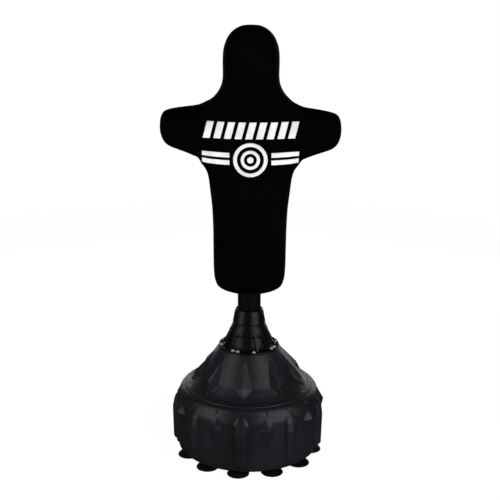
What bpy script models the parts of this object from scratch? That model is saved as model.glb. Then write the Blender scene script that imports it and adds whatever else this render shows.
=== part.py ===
"""A free-standing, man-shaped striking dummy on a fillable base.

Metres, +Z up, standing on z = 0 and facing -Y. The padded figure sits on a pole, and a coil
spring in the ribbed neck lets it lean every way over a hollow tank that stands on suction cups.
Angles round the object are measured from its front (-Y) towards +X.
"""

import math

import bmesh
import bpy
from mathutils import Matrix, Vector

GAP = 0.0003  # between pieces that touch

# tank, as (radius, height) from its top edge down
DECK_Z = 0.440
DECK_RADIUS = 0.1185
TANK_OUTER = (
    (0.1215, 0.4375),
    (0.196, 0.3295),
    (0.2213, 0.3035),
    (0.2427, 0.288),
    (0.256, 0.280),
    (0.270, 0.269),
    (0.280, 0.250),
    (0.2875, 0.230),
    (0.289, 0.215),
    (0.289, 0.050),
    (0.285, 0.024),
    (0.281, 0.020),
)
TANK_FLOOR_Z = 0.020
TANK_CAVITY = (
    (0.1215, 0.424),
    (0.189, 0.3225),
    (0.2158, 0.297),
    (0.238, 0.281),
    (0.2512, 0.273),
    (0.2635, 0.2635),
    (0.2723, 0.2465),
    (0.2793, 0.228),
    (0.281, 0.2145),
    (0.281, 0.045),
    (0.270, 0.032),
)
CAVITY_TOP_Z = 0.424
CAVITY_FLOOR_Z = 0.032
PILOT_LOW_Z = 0.4285
PILOT_HIGH_Z = 0.460
TANK_STEPS = 36

# relief on the tank, repeated nine times; points are (x, y, z) at the front, with their mirror
RELIEF_COUNT = 9
COLUMN_ANGLE = -5.5
GEM_ANGLE = 14.5
UPPER_GEM = (
    (0.0, -0.1305, 0.423),
    (0.0315, -0.1945, 0.3275),
    (0.0, -0.192, 0.3545),
    (0.0, -0.193, 0.3225),
    (0.0, -0.2335, 0.2935),
)
LOWER_GEM = (
    (0.0, -0.2655, 0.2715),
    (0.0315, -0.285, 0.195),
    (0.0, -0.3088, 0.199),
    (0.0, -0.286, 0.110),
)
COLUMN = (
    (0.0, -0.2665, 0.2705),
    (0.029, -0.283, 0.224),
    (0.029, -0.285, 0.045),
    (0.019, -0.2985, 0.216),
    (0.019, -0.307, 0.180),
    (0.019, -0.3025, 0.048),
)

# filler
FILLER_ANGLE = 174.5
FILLER_RADIUS = 0.2225
BOSS_RADIUS = 0.034
BOSS_LOW_Z = 0.275
BOSS_TOP_Z = 0.344
NECK_LOW_Z = 0.330
BORE_LOW_Z = 0.270
ABOVE_FILLER_Z = 0.380
NECK_OUTER_RADIUS = 0.0245
NECK_BORE_RADIUS = 0.0205
NECK_TOP_Z = 0.356
CAP_RADIUS = 0.031
CAP_TOP_Z = 0.363
LINER_THICKNESS = 0.0016
CAP_GRIPS = 12
CAP_GRIP_RADIUS = 0.0028
CAP_THREAD_ROOM = 0.0008
CAP_CHAMFER = 0.003
FILLER_STEPS = 24

# suction cups
CUP_COUNT = 12
CUP_ANGLE = -8.5
CUP_RING_RADIUS = 0.256
CUP_STUD_RADIUS = 0.009
CUP_STUD_TOP_Z = 0.028
CUP_BELL = ((0.036, 0.0095), (0.0435, 0.0025), (0.0435, 0.0))
CUP_HOLLOW = ((0.0375, 0.0), (0.026, 0.006), (0.0, 0.0085))
CUP_SHOULDER_RADIUS = 0.018
CUP_STEPS = 14

# neck: the dome of the housing and the collar over it share the pivot
PIVOT_Z = 0.496
DOME_RADIUS = 0.0753
DOME_WALL = 0.005
DOME_EDGE_ANGLE = 53.0
DOME_LOW_ANGLE = 14.0
COLLAR_CLEARANCE = 0.0006
NECK_STEPS = 24
FLANGE_RADIUS = 0.120
FLANGE_TOP_Z = 0.447
FLANGE_CHAMFER = 0.001
HOUSING_CONE = (
    (0.0745, 0.494),
    (0.0790, 0.480),
    (0.0865, 0.463),
    (0.0950, 0.452),
    (0.1010, FLANGE_TOP_Z),
)
RIB_OUTLINE = (  # (radius, height), round a rib's side
    (0.0720, 0.510),
    (0.0813, 0.494),
    (0.0983, 0.460),
    (0.1060, FLANGE_TOP_Z - 0.002),
    (0.0735, FLANGE_TOP_Z - 0.002),
)
RIB_HALF_WIDTH = 0.0035
RIB_ANGLES = (-45.4, -8.2, 19.4)
SCREW_ANGLES = (-35.0, -23.5, 10.4)
SCREW_RING_RADIUS = 0.1085
SCREW_HEAD_RADIUS = 0.0075
SCREW_HEAD_HEIGHT = 0.0045
SCREW_SHANK_RADIUS = 0.0028
SCREW_LENGTH = 0.016
SCREW_SEAT_ROOM = 0.0007
SCREW_SEAT_TOP_Z = 0.475
SCREW_STEPS = 10

# spring and its two seats
SPRING_RADIUS = 0.0355
SPRING_WIRE_RADIUS = 0.0045
SPRING_TURNS = 6.0
SPRING_POINTS_PER_TURN = 12
SPRING_END_FLATNESS = 0.35
LOWER_SEAT_TOP_Z = 0.446
LOWER_SEAT_RADIUS = 0.062
UPPER_SEAT_BOTTOM_Z = 0.5405
UPPER_SEAT_RADIUS = 0.042
UPPER_SEAT_THICKNESS = 0.006
SPIGOT_RADIUS = 0.029
SPIGOT_LENGTH = 0.012
SPIGOT_STRAIGHT = 0.008
SPIGOT_TAPER = 0.002
SEAT_STEPS = 24
STUB_RADIUS = 0.0255
STUB_WALL = 0.0035
STUB_TOP_Z = 0.700
SEAT_BOLT_COUNT = 4
SEAT_BOLT_RING_RADIUS = 0.052
SEAT_BOLT_HEAD_RADIUS = 0.0055
SEAT_BOLT_HEAD_HEIGHT = 0.004

# collar and pole
COLLAR_BOTTOM_Z = 0.5413
COLLAR_TOP_Z = 0.597
COLLAR_OUTLINE = (
    (0.0500, COLLAR_TOP_Z),
    (0.0535, 0.5945),
    (0.0560, 0.5890),
    (0.0585, 0.5780),
    (0.0612, 0.5610),
    (0.0638, 0.5450),
    (0.0645, COLLAR_BOTTOM_Z),
)
COLLAR_SHELF_Z = 0.575
COLLAR_CEILING_Z = 0.5675
COLLAR_HOLLOW_TOP_ANGLE = 65.0
STUB_CLEARANCE = 0.001
POLE_RADIUS = 0.0455
POLE_WALL = 0.003
POLE_TOP_Z = 1.250
POLE_STEPS = 24
BUSHING_LENGTH = 0.020
BUSHING_BELOW_STUB_TOP = 0.005
PLUG_CAP_THICKNESS = 0.004
PLUG_DEPTH = 0.025
SET_SCREW_ANGLES = (135.0, 225.0)
SET_SCREW_Z = 0.586
SET_SCREW_RADIUS = 0.003
SET_SCREW_REACH = 0.056
SET_HOLE_FROM = 0.030
SET_HOLE_TO = 0.080

# padded figure: (height, half width, half depth) of each ring of the cage, bottom to top
FIGURE_RINGS = (
    (0.664, 0.054, 0.054),
    (0.679, 0.112, 0.084),
    (0.726, 0.148, 0.104),
    (0.860, 0.146, 0.109),
    (1.040, 0.152, 0.111),
    (1.140, 0.165, 0.113),
    (1.205, 0.197, 0.113),
    (1.305, 0.212, 0.113),
    (1.400, 0.188, 0.109),
    (1.446, 0.121, 0.099),
    (1.520, 0.105, 0.095),
    (1.620, 0.113, 0.099),
    (1.682, 0.078, 0.072),
    (1.7013, 0.034, 0.032),
)
ARM_ROWS = (6, 7, 8)
# (reach, half depth, low, middle and high edge) of each ring of an arm, from the shoulder out
ARM_RINGS = (
    (0.268, 0.078, 1.212, 1.306, 1.398),
    (0.322, 0.074, 1.238, 1.306, 1.388),
    (0.3466, 0.048, 1.270, 1.308, 1.346),
)
COVER_THICKNESS = 0.002
FOAM_INSET = 0.003
POLE_HOLE_TOP_Z = 1.255
POLE_HOLE_LOW_Z = 0.600

# back zip
ZIP_LOW_Z = 0.800
ZIP_HIGH_Z = 1.200
TAPE_HALF_WIDTH = 0.013
TAPE_THICKNESS = 0.0012
TEETH_HALF_WIDTH = 0.003
TEETH_THICKNESS = 0.0012
TEETH_INSET = 0.010
STOP_INSET = 0.004
STOP_HALF_WIDTH = 0.005
STOP_HEIGHT = 0.002
SLIDER_LENGTH = 0.014
SLIDER_WIDTH = 0.012
SLIDER_THICKNESS = 0.004
PIN_RADIUS = 0.0011
PULL_EYE_RADIUS = 0.0016
PULL_KNUCKLE_RADIUS = 0.0028
PULL_LENGTH = 0.030
PULL_WIDTH = 0.009
PULL_THICKNESS = 0.0016


def on_ring(radius, degrees, z):
    """The point at this radius and height, at an angle from the front towards +X."""
    angle = math.radians(degrees)
    return Vector((radius * math.sin(angle), -radius * math.cos(angle), z))


def radial_turn(degrees):
    """Turns a piece that faces -Y to face outwards at this angle."""
    return Matrix.Rotation(math.radians(degrees), 4, "Z")


def arc(radius, centre_z, first, last, count):
    """Points (radius, height) along a circle about a point on the axis, angles from the horizontal."""
    angles = [math.radians(first + (last - first) * i / (count - 1)) for i in range(count)]
    return [(radius * math.cos(a), centre_z + radius * math.sin(a)) for a in angles]


def clear_scene():
    for old in list(bpy.data.objects):
        bpy.data.objects.remove(old, do_unlink=True)


def new_collection(name):
    collection = bpy.data.collections.new(name)
    bpy.context.scene.collection.children.link(collection)
    return collection


def new_material(name, colour, roughness, metallic=0.0):
    made = bpy.data.materials.new(name)
    made.use_nodes = True
    shader = made.node_tree.nodes["Principled BSDF"]
    shader.inputs["Base Color"].default_value = (*colour, 1.0)
    shader.inputs["Roughness"].default_value = roughness
    shader.inputs["Metallic"].default_value = metallic
    return made


clear_scene()
parts = new_collection("body_opponent_mannequin")
cutters = new_collection("cutters")
cutters.hide_render = True

tank_plastic = new_material("tank_plastic", (0.020, 0.021, 0.024), 0.42)
neck_plastic = new_material("neck_plastic", (0.010, 0.010, 0.011), 0.28)
pole_plastic = new_material("pole_plastic", (0.012, 0.012, 0.013), 0.40)
cap_plastic = new_material("cap_plastic", (0.012, 0.012, 0.013), 0.50)
cup_rubber = new_material("cup_rubber", (0.008, 0.008, 0.008), 0.60)
chrome = new_material("chrome", (0.80, 0.80, 0.82), 0.10, 1.0)
steel = new_material("steel", (0.45, 0.45, 0.46), 0.35, 1.0)
spring_steel = new_material("spring_steel", (0.20, 0.20, 0.21), 0.40, 1.0)
cover_fabric = new_material("cover_fabric", (0.006, 0.006, 0.009), 0.80)
zip_fabric = new_material("zip_fabric", (0.008, 0.008, 0.010), 0.85)
foam = new_material("foam", (0.55, 0.54, 0.50), 0.95)


def add_object(name, mesh, material, collection=parts):
    made = bpy.data.objects.new(name, mesh)
    collection.objects.link(made)
    if collection is cutters:
        made.hide_render = True
        made.display_type = "WIRE"
    elif not mesh.materials:
        mesh.materials.append(material)
    return made


def mesh_of(name, bm):
    bmesh.ops.recalc_face_normals(bm, faces=bm.faces)
    mesh = bpy.data.meshes.new(name)
    bm.to_mesh(mesh)
    bm.free()
    return mesh


def turned(name, profile, steps, material=None, loop=False, collection=parts):
    """A solid turned about +Z from (radius, height) points that run down its outer side."""
    mesh = bpy.data.meshes.new(name)
    count = len(profile)
    edges = [(i, i + 1) for i in range(count - 1)]
    if loop:
        edges.append((count - 1, 0))
    mesh.from_pydata([(r, 0.0, z) for r, z in profile], edges, [])
    made = add_object(name, mesh, material, collection)
    screw = made.modifiers.new("turn", "SCREW")
    screw.steps = steps
    screw.render_steps = steps
    screw.use_merge_vertices = True
    screw.merge_threshold = 1e-5
    screw.use_smooth_shade = True
    return made


def tube(name, outer, inner, low, high, steps, material):
    profile = [(outer, high), (outer, low), (inner, low), (inner, high)]
    return turned(name, profile, steps, material, loop=True)


def boolean(target, tool, operation="DIFFERENCE"):
    modifier = target.modifiers.new(tool.name, "BOOLEAN")
    modifier.operation = operation
    modifier.object = tool


def box_mesh(name, low, high):
    """A box between two corners."""
    bm = bmesh.new()
    bmesh.ops.create_cube(bm, size=1.0)
    size = Vector(high) - Vector(low)
    middle = (Vector(high) + Vector(low)) / 2
    bmesh.ops.scale(bm, vec=size, verts=bm.verts)
    bmesh.ops.translate(bm, vec=middle, verts=bm.verts)
    return mesh_of(name, bm)


def add_cylinder(bm, radius, low, high, place, segments):
    """A cylinder along the local Z of a placing matrix, from low to high."""
    middle = Matrix.Translation((0.0, 0.0, (low + high) / 2))
    bmesh.ops.create_cone(
        bm,
        cap_ends=True,
        segments=segments,
        radius1=radius,
        radius2=radius,
        depth=high - low,
        matrix=place @ middle,
    )


def drill_set(name, radius, low, high, places, segments):
    """One cutter that holds a cylinder at each place."""
    bm = bmesh.new()
    for place in places:
        add_cylinder(bm, radius, low, high, place, segments)
    return add_object(name, mesh_of(name, bm), None, cutters)


def add_hull(bm, points):
    """A convex solid round these points."""
    corners = [bm.verts.new(p) for p in points]
    bmesh.ops.convex_hull(bm, input=corners)


def evaluated_mesh(source):
    """The mesh of an object with its modifiers applied."""
    graph = bpy.context.evaluated_depsgraph_get()
    return bpy.data.meshes.new_from_object(source.evaluated_get(graph))


def move_origin(target, pivot):
    """Hangs a piece on an empty, with its origin there and its place unchanged."""
    target.data.transform(Matrix.Translation(-pivot.matrix_world.translation))
    target.parent = pivot


def new_pivot(name, location):
    pivot = bpy.data.objects.new(name, None)
    parts.objects.link(pivot)
    pivot.empty_display_size = 0.05
    pivot.location = location
    bpy.context.view_layer.update()
    return pivot


def repeated_angles(first):
    return [first + 360.0 * i / RELIEF_COUNT for i in range(RELIEF_COUNT)]


def quarter_angles(angles):
    return [a + 90.0 * quarter for quarter in range(4) for a in angles]


flange_screw_angles = quarter_angles(SCREW_ANGLES)
cup_angles = [CUP_ANGLE + 360.0 * i / CUP_COUNT for i in range(CUP_COUNT)]
filler_place = on_ring(FILLER_RADIUS, FILLER_ANGLE, 0.0)


def seat_bolt_places(z):
    angles = [45.0 + 360.0 * i / SEAT_BOLT_COUNT for i in range(SEAT_BOLT_COUNT)]
    return [on_ring(SEAT_BOLT_RING_RADIUS, a, z) for a in angles]


# --- tank ---------------------------------------------------------------------------------


def relief_tool(name, points, first_angle):
    """Raised shapes round the tank: each is the hull of its points and their mirror."""
    both_sides = [*points, *((-x, y, z) for x, y, z in points if x > 0)]
    bm = bmesh.new()
    for angle in repeated_angles(first_angle):
        before = len(bm.verts)
        add_hull(bm, both_sides)
        bm.verts.ensure_lookup_table()
        bmesh.ops.transform(bm, matrix=radial_turn(angle), verts=bm.verts[before:])
    return add_object(name, mesh_of(name, bm), None, cutters)


def make_tank():
    outline = [(0.0, DECK_Z), (DECK_RADIUS, DECK_Z), *TANK_OUTER, (0.0, TANK_FLOOR_Z)]
    tank = turned("base_tank", outline, TANK_STEPS, tank_plastic)
    boolean(tank, relief_tool("upper_gems", UPPER_GEM, COLUMN_ANGLE), "UNION")
    boolean(tank, relief_tool("lower_gems", LOWER_GEM, GEM_ANGLE), "UNION")
    boolean(tank, relief_tool("columns", COLUMN, COLUMN_ANGLE), "UNION")

    at_filler = [Matrix.Translation(filler_place)]
    steps = FILLER_STEPS
    boss = drill_set("filler_boss", BOSS_RADIUS, BOSS_LOW_Z, BOSS_TOP_Z, at_filler, steps)
    neck = drill_set("filler_neck", NECK_OUTER_RADIUS, NECK_LOW_Z, NECK_TOP_Z, at_filler, steps)
    boolean(tank, boss, "UNION")
    boolean(tank, neck, "UNION")

    hollow = [(0.0, CAVITY_TOP_Z), *TANK_CAVITY, (0.0, CAVITY_FLOOR_Z)]
    boolean(tank, turned("cavity", hollow, TANK_STEPS, collection=cutters))
    bore = drill_set(
        "filler_bore", NECK_BORE_RADIUS, BORE_LOW_Z, ABOVE_FILLER_Z, at_filler, steps
    )
    boolean(tank, bore)

    screw_places = [
        Matrix.Translation(on_ring(SCREW_RING_RADIUS, a, 0.0)) for a in flange_screw_angles
    ]
    pilot = SCREW_SHANK_RADIUS + GAP
    bolt_places = [Matrix.Translation(p) for p in seat_bolt_places(0.0)]
    for name, places in (("deck_pilots", screw_places), ("seat_pilots", bolt_places)):
        drills = drill_set(name, pilot, PILOT_LOW_Z, PILOT_HIGH_Z, places, SCREW_STEPS)
        boolean(tank, drills)

    cup_places = [Matrix.Translation(on_ring(CUP_RING_RADIUS, a, 0.0)) for a in cup_angles]
    socket = CUP_STUD_RADIUS + GAP
    top = CUP_STUD_TOP_Z + GAP
    low = TANK_FLOOR_Z - 0.010
    boolean(tank, drill_set("cup_sockets", socket, low, top, cup_places, CUP_STEPS))


def make_filler_cap():
    lift_pivot = new_pivot("filler_lift", Vector(filler_place) + Vector((0, 0, NECK_TOP_Z)))
    liner_low = NECK_TOP_Z + GAP
    liner_high = liner_low + LINER_THICKNESS
    liner = tube(
        "filler_gasket",
        NECK_OUTER_RADIUS,
        NECK_BORE_RADIUS,
        liner_low,
        liner_high,
        FILLER_STEPS,
        cup_rubber,
    )
    lid_low = liner_high + GAP
    skirt_low = BOSS_TOP_Z + 2 * GAP
    inner = NECK_OUTER_RADIUS + CAP_THREAD_ROOM
    profile = [
        (0.0, CAP_TOP_Z),
        (CAP_RADIUS - CAP_CHAMFER, CAP_TOP_Z),
        (CAP_RADIUS, CAP_TOP_Z - CAP_CHAMFER),
        (CAP_RADIUS, skirt_low),
        (inner, skirt_low),
        (inner, lid_low),
        (0.0, lid_low),
    ]
    cap = turned("filler_cap", profile, FILLER_STEPS, cap_plastic)
    grips = []
    for i in range(CAP_GRIPS):
        turn = radial_turn(360.0 * i / CAP_GRIPS)
        grips.append(turn @ Matrix.Translation((0.0, -CAP_RADIUS - CAP_THREAD_ROOM, 0.0)))
    grip_tool = drill_set("cap_grips", CAP_GRIP_RADIUS, NECK_LOW_Z, ABOVE_FILLER_Z, grips, 8)
    boolean(cap, grip_tool)
    for piece in (liner, cap, grip_tool):
        piece.data.transform(Matrix.Translation((0.0, 0.0, -NECK_TOP_Z)))
        piece.parent = lift_pivot


def make_cups():
    """One rubber bell with a stud, shared by every place round the ring."""
    profile = [
        (0.0, CUP_STUD_TOP_Z),
        (CUP_STUD_RADIUS, CUP_STUD_TOP_Z),
        (CUP_STUD_RADIUS, TANK_FLOOR_Z - GAP),
        (CUP_SHOULDER_RADIUS, TANK_FLOOR_Z - GAP - 0.001),
        *CUP_BELL,
        *CUP_HOLLOW,
    ]
    first = turned("suction_cup_01", profile, CUP_STEPS, cup_rubber)
    shape = evaluated_mesh(first)
    bpy.data.objects.remove(first, do_unlink=True)
    for i, angle in enumerate(cup_angles):
        cup = add_object(f"suction_cup_{i + 1:02d}", shape, cup_rubber)
        cup.location = on_ring(CUP_RING_RADIUS, angle, 0.0)


# --- neck ---------------------------------------------------------------------------------


def make_housing():
    """The ribbed cone with the dome on top, open underneath."""
    outside = arc(DOME_RADIUS, PIVOT_Z, DOME_EDGE_ANGLE, DOME_LOW_ANGLE, 8)
    cone = [
        *HOUSING_CONE,
        (FLANGE_RADIUS - FLANGE_CHAMFER, FLANGE_TOP_Z),
        (FLANGE_RADIUS, FLANGE_TOP_Z - FLANGE_CHAMFER),
        (FLANGE_RADIUS, DECK_Z + GAP),
    ]
    inner = DOME_RADIUS - DOME_WALL
    inside = [(inner, DECK_Z + GAP), *arc(inner, PIVOT_Z, 0.0, DOME_EDGE_ANGLE, 8)]
    housing = turned(
        "neck_housing", outside + cone + inside, NECK_STEPS, neck_plastic, loop=True
    )
    bm = bmesh.new()
    for angle in quarter_angles(RIB_ANGLES):
        before = len(bm.verts)
        sides = (-RIB_HALF_WIDTH, RIB_HALF_WIDTH)
        add_hull(bm, [(x, -radius, z) for x in sides for radius, z in RIB_OUTLINE])
        bm.verts.ensure_lookup_table()
        bmesh.ops.transform(bm, matrix=radial_turn(angle), verts=bm.verts[before:])
    boolean(housing, add_object("ribs", mesh_of("ribs", bm), None, cutters), "UNION")
    places = [
        Matrix.Translation(on_ring(SCREW_RING_RADIUS, a, 0.0)) for a in flange_screw_angles
    ]
    clear = SCREW_SHANK_RADIUS + 2 * GAP
    low, high = DECK_Z - 0.010, FLANGE_TOP_Z + 0.0005
    boolean(housing, drill_set("flange_holes", clear, low, high, places, SCREW_STEPS))
    seat = SCREW_HEAD_RADIUS + SCREW_SEAT_ROOM
    boolean(
        housing, drill_set("screw_seats", seat, FLANGE_TOP_Z, SCREW_SEAT_TOP_Z, places, 12)
    )


def screw_profile(head_radius, head_height, shank_radius, length):
    """A pan head over z = 0 and its shank below."""
    return [
        (0.0, head_height),
        (head_radius * 0.6, head_height),
        (head_radius, head_height * 0.45),
        (head_radius, 0.0),
        (shank_radius, 0.0),
        (shank_radius, -length),
        (0.0, -length),
    ]


def make_flange_screws():
    profile = screw_profile(
        SCREW_HEAD_RADIUS, SCREW_HEAD_HEIGHT, SCREW_SHANK_RADIUS, SCREW_LENGTH
    )
    first = turned("flange_screw_01", profile, SCREW_STEPS, chrome)
    shape = evaluated_mesh(first)
    bpy.data.objects.remove(first, do_unlink=True)
    for i, angle in enumerate(flange_screw_angles):
        screw = add_object(f"flange_screw_{i + 1:02d}", shape, chrome)
        screw.location = on_ring(SCREW_RING_RADIUS, angle, FLANGE_TOP_Z + GAP)


def make_lower_seat():
    bottom = DECK_Z + GAP
    profile = [
        (0.0, LOWER_SEAT_TOP_Z + SPIGOT_LENGTH),
        (SPIGOT_RADIUS - SPIGOT_TAPER, LOWER_SEAT_TOP_Z + SPIGOT_LENGTH),
        (SPIGOT_RADIUS, LOWER_SEAT_TOP_Z + SPIGOT_STRAIGHT),
        (SPIGOT_RADIUS, LOWER_SEAT_TOP_Z),
        (LOWER_SEAT_RADIUS, LOWER_SEAT_TOP_Z),
        (LOWER_SEAT_RADIUS, bottom),
        (0.0, bottom),
    ]
    seat = turned("lower_spring_seat", profile, SEAT_STEPS, steel)
    places = [Matrix.Translation(p) for p in seat_bolt_places(0.0)]
    clear = SCREW_SHANK_RADIUS + 2 * GAP
    low, high = DECK_Z - 0.010, PILOT_HIGH_Z
    boolean(seat, drill_set("seat_holes", clear, low, high, places, SCREW_STEPS))
    shape_profile = screw_profile(
        SEAT_BOLT_HEAD_RADIUS, SEAT_BOLT_HEAD_HEIGHT, SCREW_SHANK_RADIUS, SCREW_LENGTH
    )
    first = turned("seat_bolt_1", shape_profile, SCREW_STEPS, steel)
    shape = evaluated_mesh(first)
    bpy.data.objects.remove(first, do_unlink=True)
    for i, place in enumerate(seat_bolt_places(LOWER_SEAT_TOP_Z + GAP)):
        bolt = add_object(f"seat_bolt_{i + 1}", shape, steel)
        bolt.location = place


def make_spring(pivot):
    """A coil whose ends stop a gap short of the two seats."""
    low = LOWER_SEAT_TOP_Z + SPRING_WIRE_RADIUS + 2 * GAP - PIVOT_Z
    high = UPPER_SEAT_BOTTOM_Z - SPRING_WIRE_RADIUS - 2 * GAP - PIVOT_Z
    count = round(SPRING_TURNS * SPRING_POINTS_PER_TURN)
    path = bpy.data.curves.new("neck_spring", "CURVE")
    path.dimensions = "3D"
    path.bevel_depth = SPRING_WIRE_RADIUS
    path.bevel_resolution = 2
    path.use_fill_caps = True
    path.materials.append(spring_steel)
    spline = path.splines.new("POLY")
    spline.points.add(count - 1)
    for i, point in enumerate(spline.points):
        turn = i / (count - 1)
        degrees = 360.0 * SPRING_TURNS * turn
        # the end turns lie flatter, so that they bear on the seats
        ease = math.sin(2 * math.pi * turn) / (2 * math.pi)
        rise = turn - ease * SPRING_END_FLATNESS
        spot = on_ring(SPRING_RADIUS, degrees, low + (high - low) * rise)
        point.co = (*spot, 1.0)
    spring = bpy.data.objects.new("neck_spring", path)
    parts.objects.link(spring)
    spring.parent = pivot


def make_upper_seat(pivot):
    bottom = UPPER_SEAT_BOTTOM_Z
    top = bottom + UPPER_SEAT_THICKNESS
    profile = [
        (STUB_RADIUS, STUB_TOP_Z),
        (STUB_RADIUS, top),
        (UPPER_SEAT_RADIUS, top),
        (UPPER_SEAT_RADIUS, bottom),
        (SPIGOT_RADIUS, bottom),
        (SPIGOT_RADIUS, bottom - SPIGOT_STRAIGHT),
        (SPIGOT_RADIUS - SPIGOT_TAPER, bottom - SPIGOT_LENGTH),
        (0.0, bottom - SPIGOT_LENGTH),
    ]
    bore = STUB_RADIUS - STUB_WALL
    seat = turned(
        "upper_spring_seat",
        [(0.0, top), (bore, top), (bore, STUB_TOP_Z), *profile],
        SEAT_STEPS,
        steel,
    )
    move_origin(seat, pivot)


def make_collar(pivot):
    """A cap with a round hollow that rides over the dome and a socket for the pole."""
    inner = DOME_RADIUS + COLLAR_CLEARANCE
    low_angle = math.degrees(math.asin((COLLAR_BOTTOM_Z - PIVOT_Z) / inner))
    bore = POLE_RADIUS + GAP
    outside = [(bore, COLLAR_TOP_Z), *COLLAR_OUTLINE]
    hollow = arc(inner, PIVOT_Z, low_angle, COLLAR_HOLLOW_TOP_ANGLE, 8)
    inside = [
        *hollow,
        (STUB_RADIUS + STUB_CLEARANCE, COLLAR_CEILING_Z),
        (STUB_RADIUS + STUB_CLEARANCE, COLLAR_SHELF_Z),
        (bore, COLLAR_SHELF_Z),
    ]
    collar = turned("upper_collar", outside + inside, NECK_STEPS, neck_plastic, loop=True)
    move_origin(collar, pivot)
    places = []
    for angle in SET_SCREW_ANGLES:
        outwards = Matrix.Rotation(math.radians(90.0), 4, "X")
        lift = Matrix.Translation((0.0, 0.0, SET_SCREW_Z))
        places.append(lift @ radial_turn(angle) @ outwards)
    clear = SET_SCREW_RADIUS + GAP
    holes = drill_set("set_screw_holes", clear, SET_HOLE_FROM, SET_HOLE_TO, places, SCREW_STEPS)
    boolean(collar, holes)
    for i, place in enumerate(places):
        bm = bmesh.new()
        near = POLE_RADIUS + GAP
        add_cylinder(bm, SET_SCREW_RADIUS, near, SET_SCREW_REACH, place, SCREW_STEPS)
        name = f"collar_set_screw_{i + 1}"
        screw = add_object(name, mesh_of(name, bm), steel)
        move_origin(screw, pivot)


def make_pole(pivot):
    low = COLLAR_SHELF_Z + GAP
    inner = POLE_RADIUS - POLE_WALL
    pole = tube("pole_tube", POLE_RADIUS, inner, low, POLE_TOP_Z, POLE_STEPS, pole_plastic)
    move_origin(pole, pivot)
    tops = {"lower": low + GAP + BUSHING_LENGTH, "upper": STUB_TOP_Z - BUSHING_BELOW_STUB_TOP}
    for place, top in tops.items():
        bushing = tube(
            f"pole_bushing_{place}",
            inner - 2 * GAP,
            STUB_RADIUS + 2 * GAP,
            top - BUSHING_LENGTH,
            top,
            POLE_STEPS,
            cap_plastic,
        )
        move_origin(bushing, pivot)
    plug_inner = inner - 2 * GAP
    plug_profile = [
        (0.0, POLE_TOP_Z + PLUG_CAP_THICKNESS),
        (POLE_RADIUS, POLE_TOP_Z + PLUG_CAP_THICKNESS),
        (POLE_RADIUS, POLE_TOP_Z + GAP),
        (plug_inner, POLE_TOP_Z + GAP),
        (plug_inner, POLE_TOP_Z - PLUG_DEPTH),
        (0.0, POLE_TOP_Z - PLUG_DEPTH),
    ]
    plug = turned("pole_top_plug", plug_profile, POLE_STEPS, cap_plastic)
    move_origin(plug, pivot)


# --- padded figure ------------------------------------------------------------------------


def figure_ring(height, half_width, half_depth):
    """Eight points, with a face between two of them on each of the four sides."""
    corner_x = 0.52 * half_width
    corner_y = 0.50 * half_depth
    quarter = [(half_width, corner_y), (corner_x, half_depth)]
    half = quarter + [(-x, y) for x, y in reversed(quarter)]
    ring = half + [(-x, -y) for x, y in half]
    return [Vector((x, y, height)) for x, y in ring]


def grow_arm(bm, side):
    """Pulls the side faces of the shoulder rows out into a blunt arm."""
    low, high = FIGURE_RINGS[ARM_ROWS[0]][0], FIGURE_RINGS[ARM_ROWS[-1]][0]
    faces = []
    for face in bm.faces:
        centre = face.calc_center_median()
        if low < centre.z < high and abs(centre.y) < 0.01 and centre.x * side > 0.15:
            faces.append(face)
    heights = [FIGURE_RINGS[row][0] for row in ARM_ROWS]
    for reach, half_depth, *levels in ARM_RINGS:
        made = bmesh.ops.extrude_face_region(bm, geom=faces)["geom"]
        bmesh.ops.delete(bm, geom=faces, context="FACES_ONLY")
        faces = [item for item in made if isinstance(item, bmesh.types.BMFace)]
        for vert in (item for item in made if isinstance(item, bmesh.types.BMVert)):
            row = min(range(3), key=lambda i: abs(heights[i] - vert.co.z))
            depth = half_depth if row == 1 else half_depth * 0.62
            vert.co = (side * reach, math.copysign(depth, vert.co.y), levels[row])
        heights = levels


def figure_skin():
    """The figure's outer surface, open at the bottom where the pole goes in."""
    bm = bmesh.new()
    rings = [[bm.verts.new(p) for p in figure_ring(*ring)] for ring in FIGURE_RINGS]
    for lower, upper in zip(rings, rings[1:]):
        for i in range(len(lower)):
            k = (i + 1) % len(lower)
            bm.faces.new((lower[i], lower[k], upper[k], upper[i]))
    bm.faces.new(rings[-1])
    grow_arm(bm, 1.0)
    grow_arm(bm, -1.0)
    cage = add_object("figure_cage", mesh_of("figure_cage", bm), None, cutters)
    smooth = cage.modifiers.new("smooth", "SUBSURF")
    smooth.levels = 1
    smooth.render_levels = 1
    skin = evaluated_mesh(cage)
    bpy.data.objects.remove(cage, do_unlink=True)
    return skin


def make_figure(pivot):
    skin = figure_skin()
    cover = add_object("cover", skin, cover_fabric)
    bm = bmesh.new()
    bm.from_mesh(skin)
    bm.normal_update()
    inwards = [(vert, vert.co - vert.normal * FOAM_INSET) for vert in bm.verts]
    for vert, spot in inwards:
        vert.co = spot
    rim = [edge for edge in bm.edges if edge.is_boundary]
    bmesh.ops.holes_fill(bm, edges=rim, sides=len(rim))
    core = add_object("foam_core", mesh_of("foam_core", bm), foam)
    clear = POLE_RADIUS + GAP
    hole = [
        (0.0, POLE_HOLE_TOP_Z),
        (clear, POLE_HOLE_TOP_Z),
        (clear, POLE_HOLE_LOW_Z),
        (0.0, POLE_HOLE_LOW_Z),
    ]
    boolean(core, turned("pole_hole", hole, POLE_STEPS, collection=cutters))
    thicken = cover.modifiers.new("thickness", "SOLIDIFY")
    thicken.thickness = COVER_THICKNESS
    thicken.offset = -1.0
    back = max(
        v.co.y
        for v in skin.vertices
        if abs(v.co.x) < 0.06 and ZIP_LOW_Z - 0.1 < v.co.z < ZIP_HIGH_Z + 0.1
    )
    move_origin(cover, pivot)
    move_origin(core, pivot)
    return back


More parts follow.
